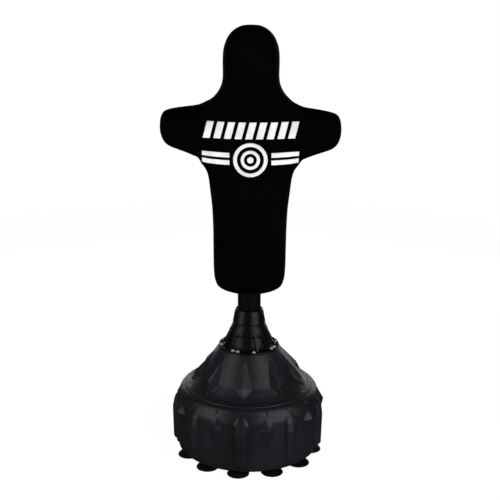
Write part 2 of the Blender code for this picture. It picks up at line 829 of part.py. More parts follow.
def make_zip(pivot, back):
    """A straight closed zip down the back, with its slider at the lower stop."""
    tape_face = back + GAP + TAPE_THICKNESS
    teeth_face = tape_face + TEETH_THICKNESS
    tape = add_object(
        "zip_tape",
        box_mesh(
            "zip_tape",
            (-TAPE_HALF_WIDTH, back + GAP, ZIP_LOW_Z),
            (TAPE_HALF_WIDTH, tape_face, ZIP_HIGH_Z),
        ),
        zip_fabric,
    )
    teeth = add_object(
        "zip_teeth",
        box_mesh(
            "zip_teeth",
            (-TEETH_HALF_WIDTH, tape_face + GAP, ZIP_LOW_Z + TEETH_INSET),
            (TEETH_HALF_WIDTH, teeth_face, ZIP_HIGH_Z - TEETH_INSET),
        ),
        steel,
    )
    stops = {
        "zip_lower_stop": (ZIP_LOW_Z + STOP_INSET, ZIP_LOW_Z + TEETH_INSET - GAP),
        "zip_upper_stop": (ZIP_HIGH_Z - TEETH_INSET + GAP, ZIP_HIGH_Z - STOP_INSET),
    }
    fixed = [tape, teeth]
    for name, (low, high) in stops.items():
        near = (-STOP_HALF_WIDTH, tape_face + GAP, low)
        corners = near, (STOP_HALF_WIDTH, teeth_face + STOP_HEIGHT, high)
        fixed.append(add_object(name, box_mesh(name, *corners), steel))
    for piece in fixed:
        move_origin(piece, pivot)

    slider_low = ZIP_LOW_Z + TEETH_INSET + GAP
    slider_base = teeth_face + GAP
    slider_top = slider_base + SLIDER_THICKNESS
    slide_pivot = new_pivot("zip_slide", (0.0, slider_base, slider_low))
    pin_z = slider_low + SLIDER_LENGTH * 0.62
    pin_y = slider_top + PULL_KNUCKLE_RADIUS + 2 * GAP
    body = box_mesh(
        "zip_slider",
        (-SLIDER_WIDTH / 2, slider_base, slider_low),
        (SLIDER_WIDTH / 2, slider_top, slider_low + SLIDER_LENGTH),
    )
    slider = add_object("zip_slider", body, steel)
    bm = bmesh.new()
    lug_half = PULL_WIDTH / 2 + 2 * GAP
    for side in (-1.0, 1.0):
        near, far = sorted((side * lug_half, side * SLIDER_WIDTH / 2))
        for z in (pin_z - 0.0020, pin_z + 0.0020):
            for x in (near, far):
                for y in (slider_top - 0.001, pin_y + PIN_RADIUS + 0.0006):
                    bm.verts.new((x, y, z))
    low_half = [v for v in bm.verts if v.co.x < 0]
    high_half = [v for v in bm.verts if v.co.x > 0]
    bmesh.ops.convex_hull(bm, input=low_half)
    bmesh.ops.convex_hull(bm, input=high_half)
    lugs = add_object("slider_lugs", mesh_of("slider_lugs", bm), None, cutters)
    across = Matrix.Rotation(math.radians(90.0), 4, "Y")
    at_pin = Matrix.Translation((0.0, pin_y, pin_z)) @ across
    bm = bmesh.new()
    half = SLIDER_WIDTH / 2 - 0.0004
    add_cylinder(bm, PIN_RADIUS, -half, half, at_pin, 10)
    bar = add_object("slider_bar", mesh_of("slider_bar", bm), None, cutters)
    boolean(slider, lugs, "UNION")
    boolean(slider, bar, "UNION")
    move_origin(slider, slide_pivot)

    pull_pivot = new_pivot("zip_pull_pin", (0.0, pin_y, pin_z))
    thickness = PULL_THICKNESS / 2
    bm = bmesh.new()
    add_cylinder(bm, PULL_KNUCKLE_RADIUS, -PULL_WIDTH / 2, PULL_WIDTH / 2, at_pin, 12)
    pull = add_object("zip_pull", mesh_of("zip_pull", bm), steel)
    tab = box_mesh(
        "pull_tab",
        (-PULL_WIDTH / 2, pin_y - thickness, pin_z - PULL_LENGTH),
        (PULL_WIDTH / 2, pin_y + thickness, pin_z - PULL_EYE_RADIUS),
    )
    boolean(pull, add_object("pull_tab", tab, None, cutters), "UNION")
    boolean(pull, drill_set("pull_eye", PULL_EYE_RADIUS, -0.02, 0.02, [at_pin], 12))
    move_origin(pull, pull_pivot)


def make_all():
    make_tank()
    make_filler_cap()
    make_cups()
    make_housing()
    make_flange_screws()
    make_lower_seat()
    pivot = new_pivot("neck_pivot", (0.0, 0.0, PIVOT_Z))
    make_spring(pivot)
    make_upper_seat(pivot)
    make_collar(pivot)
    make_pole(pivot)
    back = make_figure(pivot)
    make_zip(pivot, back)


make_all()
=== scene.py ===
import math

import bmesh
import bpy
import numpy as np
from mathutils import Matrix, Vector


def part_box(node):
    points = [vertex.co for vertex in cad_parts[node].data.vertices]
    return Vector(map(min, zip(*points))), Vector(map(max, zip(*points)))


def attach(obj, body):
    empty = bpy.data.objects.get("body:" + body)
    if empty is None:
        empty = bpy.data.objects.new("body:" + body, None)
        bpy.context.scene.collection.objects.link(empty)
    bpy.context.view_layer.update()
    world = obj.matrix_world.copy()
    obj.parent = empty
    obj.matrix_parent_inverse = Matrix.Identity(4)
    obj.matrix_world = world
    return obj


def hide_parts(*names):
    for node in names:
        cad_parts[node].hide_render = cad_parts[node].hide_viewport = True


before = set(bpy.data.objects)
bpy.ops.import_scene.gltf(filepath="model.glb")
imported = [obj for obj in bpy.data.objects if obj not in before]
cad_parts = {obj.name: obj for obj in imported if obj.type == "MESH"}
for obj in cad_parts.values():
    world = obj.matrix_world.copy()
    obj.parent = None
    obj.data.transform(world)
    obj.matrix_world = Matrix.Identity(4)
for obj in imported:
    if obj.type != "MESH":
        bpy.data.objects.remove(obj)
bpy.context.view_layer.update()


# ---- finishes: every one is a Principled shader fed by patterns on object coordinates ----


def addNode(tree, kind, settings=None, **inputs):
    made = tree.nodes.new("ShaderNode" + kind)
    for key, value in (settings or {}).items():
        setattr(made, key, value)
    for key, value in inputs.items():
        socket = made.inputs[int(key[1:])] if key[0] == "n" and key[1:].isdigit() else made.inputs[key]
        if isinstance(value, bpy.types.NodeSocket):
            tree.links.new(value, socket)
        else:
            socket.default_value = value
    return made


def maths(tree, operation, first, second=0.0, third=0.0):
    return addNode(tree, "Math", {"operation": operation}, n0=first, n1=second, n2=third).outputs[0]


def noise(tree, place, scale, detail=3.0, rough=0.55):
    made = addNode(tree, "TexNoise", None, Vector=place, Scale=scale, Detail=detail, Roughness=rough)
    return made.outputs["Factor"] if "Factor" in made.outputs else made.outputs["Fac"]


def ranged(tree, value, low, high, toLow, toHigh):
    names = {"From Min": low, "From Max": high, "To Min": toLow, "To Max": toHigh}
    made = tree.nodes.new("ShaderNodeMapRange")
    made.interpolation_type = "SMOOTHSTEP"
    tree.links.new(value, made.inputs["Value"])
    for name, number in names.items():
        made.inputs[name].default_value = number
    return made.outputs["Result"]


def blendColours(tree, factor, first, second):
    made = tree.nodes.new("ShaderNodeMix")
    made.data_type = "RGBA"
    tree.links.new(factor, made.inputs["Factor"])
    for socket, value in ((made.inputs[6], first), (made.inputs[7], second)):
        if isinstance(value, bpy.types.NodeSocket):
            tree.links.new(value, socket)
        else:
            socket.default_value = (*value, 1.0)
    return made.outputs[2]


def startMaterial(name, look):
    material = bpy.data.materials.new(name)
    material.use_nodes = True
    tree = material.node_tree
    shader = tree.nodes["Principled BSDF"]
    for key, value in look.get("sockets", {}).items():
        shader.inputs[key].default_value = value
    place = addNode(tree, "TexCoord").outputs["Object"]
    return material, tree, shader, place


def addBump(tree, shader, height, distance, strength=1.0):
    bump = addNode(tree, "Bump", None, Strength=strength, Distance=distance, Height=height)
    tree.links.new(bump.outputs["Normal"], shader.inputs["Normal"])


# Moulded finish: colour drifts between two tones with broad noise, roughness follows a finer one,
# bump is an orange peel plus a fine grain, and streaks lighten the lowest heights given in "wear": scuffs,
# and on the tank also a painted reflection of the floor.
def mouldedFinish(name, look):
    material, tree, shader, place = startMaterial(name, look)
    broad = noise(tree, place, look["driftScale"], 4.0)
    tone = blendColours(tree, ranged(tree, broad, 0.32, 0.68, 0.0, 1.0), look["dark"], look["light"])
    patchy = noise(tree, place, look["peelScale"] * 0.35, 5.0, 0.6)
    low, high = look["roughness"]
    rough = ranged(tree, patchy, 0.3, 0.7, low, high)
    # lighter streaks towards the bottom: scuffs, and on the tank also a painted reflection of the floor
    if "wearAndFloorReflection" in look:
        wearAndFloorReflection = look["wearAndFloorReflection"]
        stretched = addNode(tree, "Mapping", None, Vector=place, Scale=wearAndFloorReflection["stretch"]).outputs[0]
        streaks = noise(tree, stretched, wearAndFloorReflection["scale"], 6.0, 0.7)
        height = addNode(tree, "SeparateXYZ", None, Vector=place).outputs["Z"]
        reach = ranged(tree, height, wearAndFloorReflection["full"], wearAndFloorReflection["none"], 1.0, 0.0)
        wearAndReflectionShare = maths(tree, "MULTIPLY", ranged(tree, streaks, wearAndFloorReflection["from"], wearAndFloorReflection["to"], 0.0, 1.0), reach)
        tone = blendColours(tree, wearAndReflectionShare, tone, wearAndFloorReflection["colour"])
        rough = maths(tree, "MULTIPLY_ADD", wearAndReflectionShare, wearAndFloorReflection["rougher"], rough)
    tree.links.new(tone, shader.inputs["Base Color"])
    tree.links.new(rough, shader.inputs["Roughness"])
    peel = noise(tree, place, look["peelScale"], 2.0)
    grain = noise(tree, place, look["grainScale"], 2.0)
    addBump(tree, shader, maths(tree, "MULTIPLY_ADD", grain, look["grainShare"], peel), look["bump"])
    return material


# Metal finish: fine lines run one way, with a cloudy change of roughness and a little tarnish.
def metalFinish(name, look):
    material, tree, shader, place = startMaterial(name, look)
    lined = addNode(tree, "Mapping", None, Vector=place, Scale=look["stretch"]).outputs[0]
    lines = noise(tree, lined, look["lineScale"], 4.0, 0.6)
    cloud = noise(tree, place, look["cloudScale"], 4.0)
    low, high = look["roughness"]
    both = maths(tree, "MULTIPLY_ADD", lines, 0.5, maths(tree, "MULTIPLY", cloud, 0.5))
    tree.links.new(ranged(tree, both, 0.3, 0.7, low, high), shader.inputs["Roughness"])
    tone = blendColours(tree, ranged(tree, cloud, 0.35, 0.75, 0.0, 1.0), look["light"], look["dark"])
    tree.links.new(tone, shader.inputs["Base Color"])
    addBump(tree, shader, lines, look["bump"])
    return material


# Woven finish: the product of two sine waves, taken in the plane that each face lies in (the
# squares of the normal's parts add up to one and share out the three planes), plus loose fibres.
def wovenFinish(name, look):
    material, tree, shader, place = startMaterial(name, look)
    pace = 2.0 * math.pi / look["pitch"]
    scaled = addNode(tree, "VectorMath", {"operation": "MULTIPLY"}, n0=place, n1=(pace, pace, pace))
    waves = addNode(tree, "VectorMath", {"operation": "SINE"}, n0=scaled.outputs[0])
    sines = addNode(tree, "SeparateXYZ", None, Vector=waves.outputs[0]).outputs
    facing = addNode(tree, "NewGeometry").outputs["Normal"]
    squared = addNode(tree, "VectorMath", {"operation": "MULTIPLY"}, n0=facing, n1=facing)
    share = addNode(tree, "SeparateXYZ", None, Vector=squared.outputs[0]).outputs
    across = maths(tree, "MULTIPLY", maths(tree, "MULTIPLY", sines["X"], sines["Z"]), share["Y"])
    along = maths(tree, "MULTIPLY", maths(tree, "MULTIPLY", sines["Y"], sines["Z"]), share["X"])
    over = maths(tree, "MULTIPLY", maths(tree, "MULTIPLY", sines["X"], sines["Y"]), share["Z"])
    weave = maths(tree, "ADD", maths(tree, "ADD", across, along), over)
    fibre = noise(tree, place, look["fibreScale"], 3.0, 0.7)
    broad = noise(tree, place, look["driftScale"], 4.0)
    worn = noise(tree, place, look["driftScale"] * 6.0, 5.0, 0.65)
    threads = ranged(tree, weave, -0.9, 0.9, 0.0, 1.0)
    mixed = maths(tree, "MULTIPLY_ADD", threads, 0.45, maths(tree, "MULTIPLY", fibre, 0.35))
    mixed = maths(tree, "MULTIPLY_ADD", ranged(tree, broad, 0.3, 0.7, 0.0, 1.0), 0.3, mixed)
    tone = blendColours(tree, ranged(tree, mixed, 0.15, 0.95, 0.0, 1.0), look["dark"], look["light"])
    tree.links.new(tone, shader.inputs["Base Color"])
    low, high = look["roughness"]
    tree.links.new(ranged(tree, worn, 0.3, 0.7, low, high), shader.inputs["Roughness"])
    addBump(tree, shader, maths(tree, "MULTIPLY_ADD", fibre, 0.6, weave), look["bump"])
    return material


tankLook = {
    "dark": (0.0058, 0.0064, 0.0086),
    "light": (0.0096, 0.0105, 0.0138),
    "driftScale": 5.0,
    "roughness": (0.34, 0.46),
    "peelScale": 240.0,
    "grainScale": 1400.0,
    "grainShare": 0.35,
    "bump": 0.00016,
    "sockets": {"Specular IOR Level": 0.30},
    # painted reflection of the floor, with scuffs: the tank lightens in streaks from 2 cm up to 12 cm
    "wearAndFloorReflection": {
        "stretch": (1.0, 1.0, 3.5),
        "scale": 30.0,
        "from": 0.60,
        "to": 0.78,
        "full": 0.02,
        "none": 0.12,
        "colour": (0.050, 0.050, 0.052),
        "rougher": 0.15,
    },
}
neckLook = {
    "dark": (0.0018, 0.0020, 0.0028),
    "light": (0.0034, 0.0037, 0.0050),
    "driftScale": 14.0,
    "roughness": (0.28, 0.36),
    "peelScale": 420.0,
    "grainScale": 2200.0,
    "grainShare": 0.25,
    "bump": 0.00007,
    "sockets": {"Specular IOR Level": 0.18},
}
poleLook = {
    "dark": (0.0014, 0.0016, 0.0024),
    "light": (0.0026, 0.0029, 0.0042),
    "driftScale": 10.0,
    "roughness": (0.40, 0.50),
    "peelScale": 320.0,
    "grainScale": 1600.0,
    "grainShare": 0.3,
    "bump": 0.00006,
    "sockets": {"Specular IOR Level": 0.05},
}
capLook = {
    "dark": (0.0065, 0.0068, 0.0076),
    "light": (0.0105, 0.0110, 0.0122),
    "driftScale": 24.0,
    "roughness": (0.38, 0.52),
    "peelScale": 500.0,
    "grainScale": 2600.0,
    "grainShare": 0.5,
    "bump": 0.00012,
}
bushingLook = {
    "dark": (0.46, 0.45, 0.41),
    "light": (0.60, 0.59, 0.55),
    "driftScale": 22.0,
    "roughness": (0.36, 0.5),
    "peelScale": 380.0,
    "grainScale": 1800.0,
    "grainShare": 0.3,
    "bump": 0.00008,
}
rubberLook = {
    "dark": (0.0012, 0.0012, 0.0014),
    "light": (0.0028, 0.0028, 0.0031),
    "driftScale": 30.0,
    "roughness": (0.48, 0.70),
    "peelScale": 600.0,
    "grainScale": 2800.0,
    "grainShare": 0.7,
    "bump": 0.00014,
    "sockets": {"Specular IOR Level": 0.10},
    "wearAndFloorReflection": {
        "stretch": (1.0, 1.0, 1.0),
        "scale": 90.0,
        "from": 0.55,
        "to": 0.80,
        "full": 0.001,
        "none": 0.010,
        "colour": (0.008, 0.0075, 0.007),
        "rougher": 0.2,
    },
}
chromeLook = {
    "light": (0.92, 0.93, 0.95),
    "dark": (0.72, 0.73, 0.76),
    "stretch": (1.0, 1.0, 8.0),
    "lineScale": 420.0,
    "cloudScale": 260.0,
    "roughness": (0.40, 0.54),
    "bump": 0.00002,
    "sockets": {"Metallic": 1.0},
}
steelLook = {
    "light": (0.46, 0.46, 0.47),
    "dark": (0.28, 0.28, 0.29),
    "stretch": (1.0, 1.0, 12.0),
    "lineScale": 260.0,
    "cloudScale": 90.0,
    "roughness": (0.26, 0.42),
    "bump": 0.00004,
    "sockets": {"Metallic": 1.0},
}
springLook = {
    "light": (0.16, 0.155, 0.15),
    "dark": (0.07, 0.068, 0.07),
    "stretch": (1.0, 1.0, 5.0),
    "lineScale": 200.0,
    "cloudScale": 70.0,
    "roughness": (0.30, 0.52),
    "bump": 0.00005,
    "sockets": {"Metallic": 1.0},
}
zipMetalLook = {
    "light": (0.060, 0.060, 0.064),
    "dark": (0.030, 0.030, 0.033),
    "stretch": (4.0, 4.0, 1.0),
    "lineScale": 500.0,
    "cloudScale": 200.0,
    "roughness": (0.28, 0.45),
    "bump": 0.00002,
    "sockets": {"Metallic": 0.9},
}
coverLook = {
    "dark": (0.0002, 0.0003, 0.0007),
    "light": (0.0008, 0.0010, 0.0019),
    "driftScale": 3.0,
    "pitch": 0.0016,
    "fibreScale": 900.0,
    "roughness": (0.62, 0.85),
    "bump": 0.00022,
    "sockets": {"Specular IOR Level": 0.02},
}
trimLook = {
    "dark": (0.0012, 0.0013, 0.0018),
    "light": (0.0055, 0.0058, 0.0070),
    "driftScale": 12.0,
    "pitch": 0.0009,
    "fibreScale": 1500.0,
    "roughness": (0.55, 0.8),
    "bump": 0.00018,
    "sockets": {"Specular IOR Level": 0.15},
}
tapeLook = {
    "dark": (0.0010, 0.0010, 0.0014),
    "light": (0.0080, 0.0082, 0.0092),
    "driftScale": 20.0,
    "pitch": 0.0011,
    "fibreScale": 1800.0,
    "roughness": (0.6, 0.85),
    "bump": 0.0002,
    "sockets": {"Specular IOR Level": 0.2},
}
printLook = {
    "dark": (0.72, 0.73, 0.74),
    "light": (0.90, 0.91, 0.92),
    "driftScale": 18.0,
    "roughness": (0.42, 0.58),
    "peelScale": 300.0,
    "grainScale": 1200.0,
    "grainShare": 0.8,
    "bump": 0.00015,
    "sockets": {"Specular IOR Level": 0.3},
}

tankPlastic = mouldedFinish("tankPlastic", tankLook)
neckPlastic = mouldedFinish("neckPlastic", neckLook)
polePlastic = mouldedFinish("polePlastic", poleLook)
capPlastic = mouldedFinish("capPlastic", capLook)
bushingPlastic = mouldedFinish("bushingPlastic", bushingLook)
cupRubber = mouldedFinish("cupRubber", rubberLook)
printInk = mouldedFinish("printInk", printLook)
chrome = metalFinish("chrome", chromeLook)
steel = metalFinish("steel", steelLook)
springSteel = metalFinish("springSteel", springLook)
zipMetal = metalFinish("zipMetal", zipMetalLook)
coverFabric = wovenFinish("coverFabric", coverLook)
trimFabric = wovenFinish("trimFabric", trimLook)
tapeFabric = wovenFinish("tapeFabric", tapeLook)
print("finishes ready:", len(bpy.data.materials))


# ---- surfaces: whole arrays of points, joined into faces ----


# Joins a grid of points into quads: rows run down the outside, columns run anticlockwise seen
# from above, so the faces look outwards. A cap is a fan round the mean of the end row.
def gridPatch(points, wrap=True, capFirst=False, capLast=False):
    rows, cols = points.shape[:2]
    index = np.arange(rows * cols).reshape(rows, cols)
    if wrap:
        index = np.column_stack([index, index[:, 0]])
    corners = (index[:-1, :-1], index[1:, :-1], index[1:, 1:], index[:-1, 1:])
    quads = np.stack(corners, -1).reshape(-1, 4)
    verts = points.reshape(-1, 3)
    fans = []
    for wanted, row, step in ((capFirst, 0, 1), (capLast, rows - 1, -1)):
        if wanted:
            ring = index[row]
            hub = np.full(len(ring) - 1, len(verts))
            fans.append(np.stack([hub, ring[:-1], ring[1:]], -1)[:, ::step])
            verts = np.vstack([verts, points[row].mean(0)])
    fans = np.vstack(fans) if fans else np.zeros((0, 3), int)
    return {"verts": verts, "quads": quads, "fans": fans}


# Copies a patch to every offset (n, 3) in one go.
def repeatPatch(patch, offsets):
    offsets = np.asarray(offsets, float).reshape(-1, 3)
    count, size = len(offsets), len(patch["verts"])
    shift = (np.arange(count) * size)[:, None, None]
    return {
        "verts": (patch["verts"][None] + offsets[:, None]).reshape(-1, 3),
        "quads": (patch["quads"][None] + shift).reshape(-1, 4),
        "fans": (patch["fans"][None] + shift).reshape(-1, 3),
    }


# Carries a patch into frames: point = origin + x * side + y * out + z * along, for every frame.
def framePatch(patch, origins, sides, outs, alongs):
    shape = patch["verts"]
    placed = (
        origins[:, None]
        + shape[None, :, 0:1] * sides[:, None]
        + shape[None, :, 1:2] * outs[:, None]
        + shape[None, :, 2:3] * alongs[:, None]
    )
    shift = (np.arange(len(origins)) * len(shape))[:, None, None]
    return {
        "verts": placed.reshape(-1, 3),
        "quads": (patch["quads"][None] + shift).reshape(-1, 4),
        "fans": (patch["fans"][None] + shift).reshape(-1, 3),
    }


def movePatch(patch, offset, degrees=0.0):
    a = math.radians(degrees)
    turn = np.array([[math.cos(a), -math.sin(a), 0.0], [math.sin(a), math.cos(a), 0.0], [0, 0, 1.0]])
    return {**patch, "verts": patch["verts"] @ turn.T + np.asarray(offset, float)}


def onRing(radius, degrees, z=0.0):
    a = math.radians(degrees)
    return (radius * math.sin(a), -radius * math.cos(a), z)


# One mesh object from patches, at the origin, with doubles merged and edges over the angle sharp.
def makePiece(name, patches, material, body, sharpAngle=38.0, stands=()):
    verts, faces, start = [], [], 0
    for patch in patches:
        verts.append(patch["verts"])
        faces += (patch["quads"] + start).tolist() + (patch["fans"] + start).tolist()
        start += len(patch["verts"])
    mesh = bpy.data.meshes.new(name)
    mesh.from_pydata(np.vstack(verts).tolist(), [], faces)
    work = bmesh.new()
    work.from_mesh(mesh)
    bmesh.ops.remove_doubles(work, verts=work.verts, dist=1e-6)
    bmesh.ops.dissolve_degenerate(work, edges=work.edges, dist=1e-7)
    work.to_mesh(mesh)
    work.free()
    mesh.materials.append(material)
    mesh.shade_smooth()
    mesh.set_sharp_from_angle(angle=math.radians(sharpAngle))
    piece = bpy.data.objects.new(name, mesh)
    bpy.context.scene.collection.objects.link(piece)
    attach(piece, body)
    if stands:
        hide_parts(*stands)
    return piece


# Softens the corners of a profile: each corner becomes a short quadratic curve that starts and
# ends at most "radius" before and after it; straight runs are then cut to steps of "step".
def softProfile(points, radius, step=0.004, curveSteps=4):
    points = np.asarray(points, float)
    made = [points[:1]]
    for before, corner, after in zip(points[:-2], points[1:-1], points[2:]):
        inLength, outLength = np.linalg.norm(corner - before), np.linalg.norm(after - corner)
        cut = min(radius, 0.45 * inLength, 0.45 * outLength)
        first = corner + (before - corner) / inLength * cut
        last = corner + (after - corner) / outLength * cut
        t = np.linspace(0.0, 1.0, curveSteps + 1)[:, None]
        made.append((1 - t) ** 2 * first + 2 * t * (1 - t) * corner + t**2 * last)
    made.append(points[-1:])
    line = np.vstack(made)
    lengths = np.linalg.norm(np.diff(line, axis=0), axis=1)
    runs = [np.linspace(0, 1, max(1, round(l / step)), endpoint=False) for l in lengths]
    pieces = [a + (b - a) * t[:, None] for a, b, t in zip(line[:-1], line[1:], runs)]
    return np.vstack(pieces + [line[-1:]])


# Turned surface: point = (r sin a, -r cos a, z), with (r, z) down the profile and a all round.
def turnedPatch(profile, steps=96, capFirst=False, capLast=False):
    profile = np.asarray(profile, float)
    angles = np.arange(steps) * 2.0 * math.pi / steps
    radius, height = profile[:, :1], profile[:, 1:]
    points = np.stack([radius * np.sin(angles), -radius * np.cos(angles), height + 0 * angles], -1)
    return gridPatch(points, True, capFirst, capLast)


# Box with rounded edges: the points of a sphere, each pushed outwards along the three axes by the
# half size less the radius, with the sign of its octant.
def roundedBox(low, high, radius, steps=2):
    low, high = np.asarray(low, float), np.asarray(high, float)
    half, centre = (high - low) / 2, (high + low) / 2
    radius = min(radius, half.min() * 0.98)
    bend = np.linspace(0.0, 90.0, steps + 1)
    around = np.radians(np.concatenate([q * 90.0 + bend for q in range(4)]))
    signX = np.repeat([1.0, -1.0, -1.0, 1.0], steps + 1)
    signY = np.repeat([1.0, 1.0, -1.0, -1.0], steps + 1)
    up = np.radians(np.concatenate([90.0 - bend, -bend]))[:, None]
    signZ = np.repeat([1.0, -1.0], steps + 1)[:, None]
    x = signX * (half[0] - radius) + radius * np.cos(up) * np.cos(around)
    y = signY * (half[1] - radius) + radius * np.cos(up) * np.sin(around)
    z = signZ * (half[2] - radius) + radius * np.sin(up) + 0 * around
    return gridPatch(np.stack([x, y, z], -1) + centre, True, True, True)


# Tube along a path: an oval of the given half width and half height in the plane of each frame.
def tubePatch(path, sides, outs, width, height, steps=8):
    turn = -np.arange(steps) * 2.0 * math.pi / steps
    points = (
        path[:, None]
        + (width * np.cos(turn))[None, :, None] * sides[:, None]
        + (height * np.sin(turn))[None, :, None] * outs[:, None]
    )
    return gridPatch(points, True, True, True)


# ---- tank ----

tankSize = {
    "outline": [
        (0.0600, 0.4400),
        (0.1195, 0.4400),
        (0.1218, 0.4372),
        (0.1960, 0.3295),
        (0.2213, 0.3035),
        (0.2400, 0.2880),
        (0.2500, 0.2830),
        (0.2535, 0.2818),
        (0.2562, 0.2776),
        (0.2620, 0.2745),
        (0.2700, 0.2690),
        (0.2765, 0.2600),
        (0.2800, 0.2500),
        (0.2840, 0.2400),
        (0.2880, 0.2280),
        (0.2890, 0.2150),
        (0.2890, 0.0500),
        (0.2850, 0.0245),
        (0.2790, 0.0200),
        (0.0600, 0.0200),
    ],
    "cornerSoftness": 0.006,
    "rowStep": 0.0030,
    "repeats": 9,
    "uprightAngle": -5.5,
    "kite": {  # (height on the outline, half width, ridge radius, ridge height)
        "top": (0.4230, 0.0, 0.1305, 0.4230),
        "peak": (0.3520, 0.0240, 0.1960, 0.3545),
        "side": (0.3285, 0.0315, 0.2140, 0.3350),
        "low": (0.3130, 0.0155, 0.2235, 0.3170),
        "tip": (0.2965, 0.0, 0.2335, 0.2970),
    },
    "lowerKite": {
        "top": (0.2715, 0.0, 0.2675, 0.2715),
        "side": (0.1950, 0.0315, 0.3080, 0.1990),
        "tip": (0.1150, 0.0, 0.2890, 0.1150),
    },
    "upright": {
        "top": (0.2705, 0.0, 0.2690, 0.2705),
        "shoulder": (0.2240, 0.0290, 0.3010, 0.2180),
        "middle": (0.1800, 0.0290, 0.3080, 0.1800),
        "foot": (0.0520, 0.0290, 0.3050, 0.0500),
        "end": (0.0400, 0.0270, 0.2895, 0.0400),
    },
    "faceShare": 0.66,  # of the upright's half width, from its ridge to its chamfer
    "faceFall": 0.26,  # of the upright's height, lost between ridge and chamfer
    "liftEnd": 1.14,  # share of the half width at which a raised shape has gone
    "step": {
        "reach": 7.5,  # degrees to each side of a lower kite's middle
        "sideSlope": 0.7,  # degrees
        "inner": 0.2380,
        "outer": 0.2475,
        "slope": 0.002,
        "rise": 0.0022,
        "between": (0.27, 0.30),
    },
    "fillet": 0.0022,
    "thinnest": 0.0030,
    "filler": {
        "angle": 174.5,
        "ring": 0.2225,
        "hole": 0.027,
        "holeAbove": 0.25,
        "bore": 0.0205,
        "boreLow": 0.276,
        "mouth": 0.3560,
        "spout": 0.0245,
        "threadTop": 0.3545,
        "threadPitch": 0.0032,
        "threadDepth": 0.0009,
        "threads": 3,
        "bossLine": [(0.0320, 0.3440), (0.0340, 0.3420), (0.0344, 0.3200), (0.0356, 0.2700)],
    },
}


# The tank is one grid. Down it goes the outline; round it the columns follow the raised shapes, so
# that ridges and edges are never cut across. With w the half width of a shape at a row, and t the
# share of it, a point is base + lift(t) * (ridge - base). The lift is (a + sqrt(a * a + e * e)) / 2
# with e = fillet / (2 * w), which rounds the foot. On a kite a = 1 - t. On an upright a falls slowly
# over the face and fast over the chamfer. A low step rises from the ledge over each lower kite.
def tankPatches(size):
    outline = softProfile(size["outline"], size["cornerSoftness"], size["rowStep"])
    radius, height = outline[:, 0], outline[:, 1]

    def along(shape, column):  # value of a shape's column at each row, by the row's height
        knots = np.array([shape[k] for k in shape])[::-1]
        return np.interp(height, knots[:, 0], knots[:, column])

    def within(shape):
        heights = [shape[k][0] for k in shape]
        return (height < max(heights)) & (height > min(heights)) & (radius > 0.12)

    def raised(shape):  # (half width, ridge radius, ridge height) of each row
        inside = within(shape)
        width = np.where(inside, along(shape, 1), 0.0)
        outward = np.where(inside, along(shape, 2), radius)
        level = np.where(inside, along(shape, 3), height)
        return np.maximum(width, size["thinnest"]), outward, level

    kiteWidth, kiteOut, kiteLevel = raised(size["kite"])
    barWidth, barOut, barLevel = raised(size["upright"])
    gemWidth, gemOut, gemLevel = raised(size["lowerKite"])
    onBar = within(size["upright"])
    ridgeWidth = np.maximum(kiteWidth, barWidth)
    ridgeOut = np.where(onBar, barOut, kiteOut)
    ridgeLevel = np.where(onBar, barLevel, kiteLevel)

    inner = np.array([0.0, 0.05, 0.16, 0.32, 0.48, 0.60, 0.66, 0.72, 0.80, 0.88, 0.94, 1.0, 1.06, 1.14])
    outer = np.array([0.0, 0.06, 0.2, 0.4, 0.6, 0.8, 0.9, 0.96, 1.0, 1.05, 1.12])
    bridge = np.linspace(0.0, 1.0, 7)[1:-1]
    half = math.pi / size["repeats"]
    firstArc = ridgeWidth[:, None] * inner / radius[:, None]
    lastArc = half - (gemWidth[:, None] * outer / radius[:, None])[:, ::-1]
    middle = firstArc[:, -1:] + (lastArc[:, :1] - firstArc[:, -1:]) * bridge
    arc = np.hstack([firstArc, middle, lastArc])  # from a ridge to the next lower kite

    def lift(share, width, faces):
        e = (0.5 * size["fillet"] / width)[:, None]
        fall = size["faceFall"] * share / size["faceShare"]
        steep = (1.0 - share) / (1.0 - size["faceShare"]) * (1.0 - size["faceFall"])
        flat = np.where(share < size["faceShare"], 1.0 - fall, steep)
        a = np.where(faces[:, None], flat, 1.0 - share)
        return np.where(share >= size["liftEnd"], 0.0, (a + np.sqrt(a * a + e * e)) / 2)

    shareA = arc * radius[:, None] / ridgeWidth[:, None]
    shareB = (half - arc) * radius[:, None] / gemWidth[:, None]
    liftA = lift(shareA, ridgeWidth, onBar)
    liftB = lift(shareB, gemWidth, np.zeros(len(radius), bool))
    r = radius[:, None] + liftA * (ridgeOut - radius)[:, None] + liftB * (gemOut - radius)[:, None]
    z = height[:, None] + liftA * (ridgeLevel - height)[:, None] + liftB * (gemLevel - height)[:, None]

    step = size["step"]
    reach, sideSlope = math.radians(step["reach"]), math.radians(step["sideSlope"])
    beside = np.clip((reach - (half - arc)) / sideSlope + 0.5, 0, 1)
    fromInside = np.clip((radius - step["inner"]) / step["slope"], 0, 1)
    onLedge = fromInside * np.clip((step["outer"] - radius) / step["slope"], 0, 1)
    low, high = step["between"]
    z = z + step["rise"] * beside * (onLedge * (height > low) * (height < high))[:, None]

    both = np.hstack([arc, 2 * half - arc[:, -2:0:-1]])
    r, z = (np.hstack([v, v[:, -2:0:-1]]) for v in (r, z))
    starts = math.radians(size["uprightAngle"]) + 2 * half * np.arange(size["repeats"])
    angle = (both[:, None, :] + starts[None, :, None]).reshape(len(radius), -1)
    r, z = (np.tile(v, (1, size["repeats"])) for v in (r, z))
    points = np.stack([r * np.sin(angle), -r * np.cos(angle), z], -1)
    body = gridPatch(points, True, True, True)

    filler = size["filler"]
    place = np.array(onRing(filler["ring"], filler["angle"]))
    centres = body["verts"][body["quads"]].mean(1)
    away = np.hypot(centres[:, 0] - place[0], centres[:, 1] - place[1])
    body["quads"] = body["quads"][(away > filler["hole"]) | (centres[:, 2] < filler["holeAbove"])]
    return [body, movePatch(fillerNeck(filler), place)]


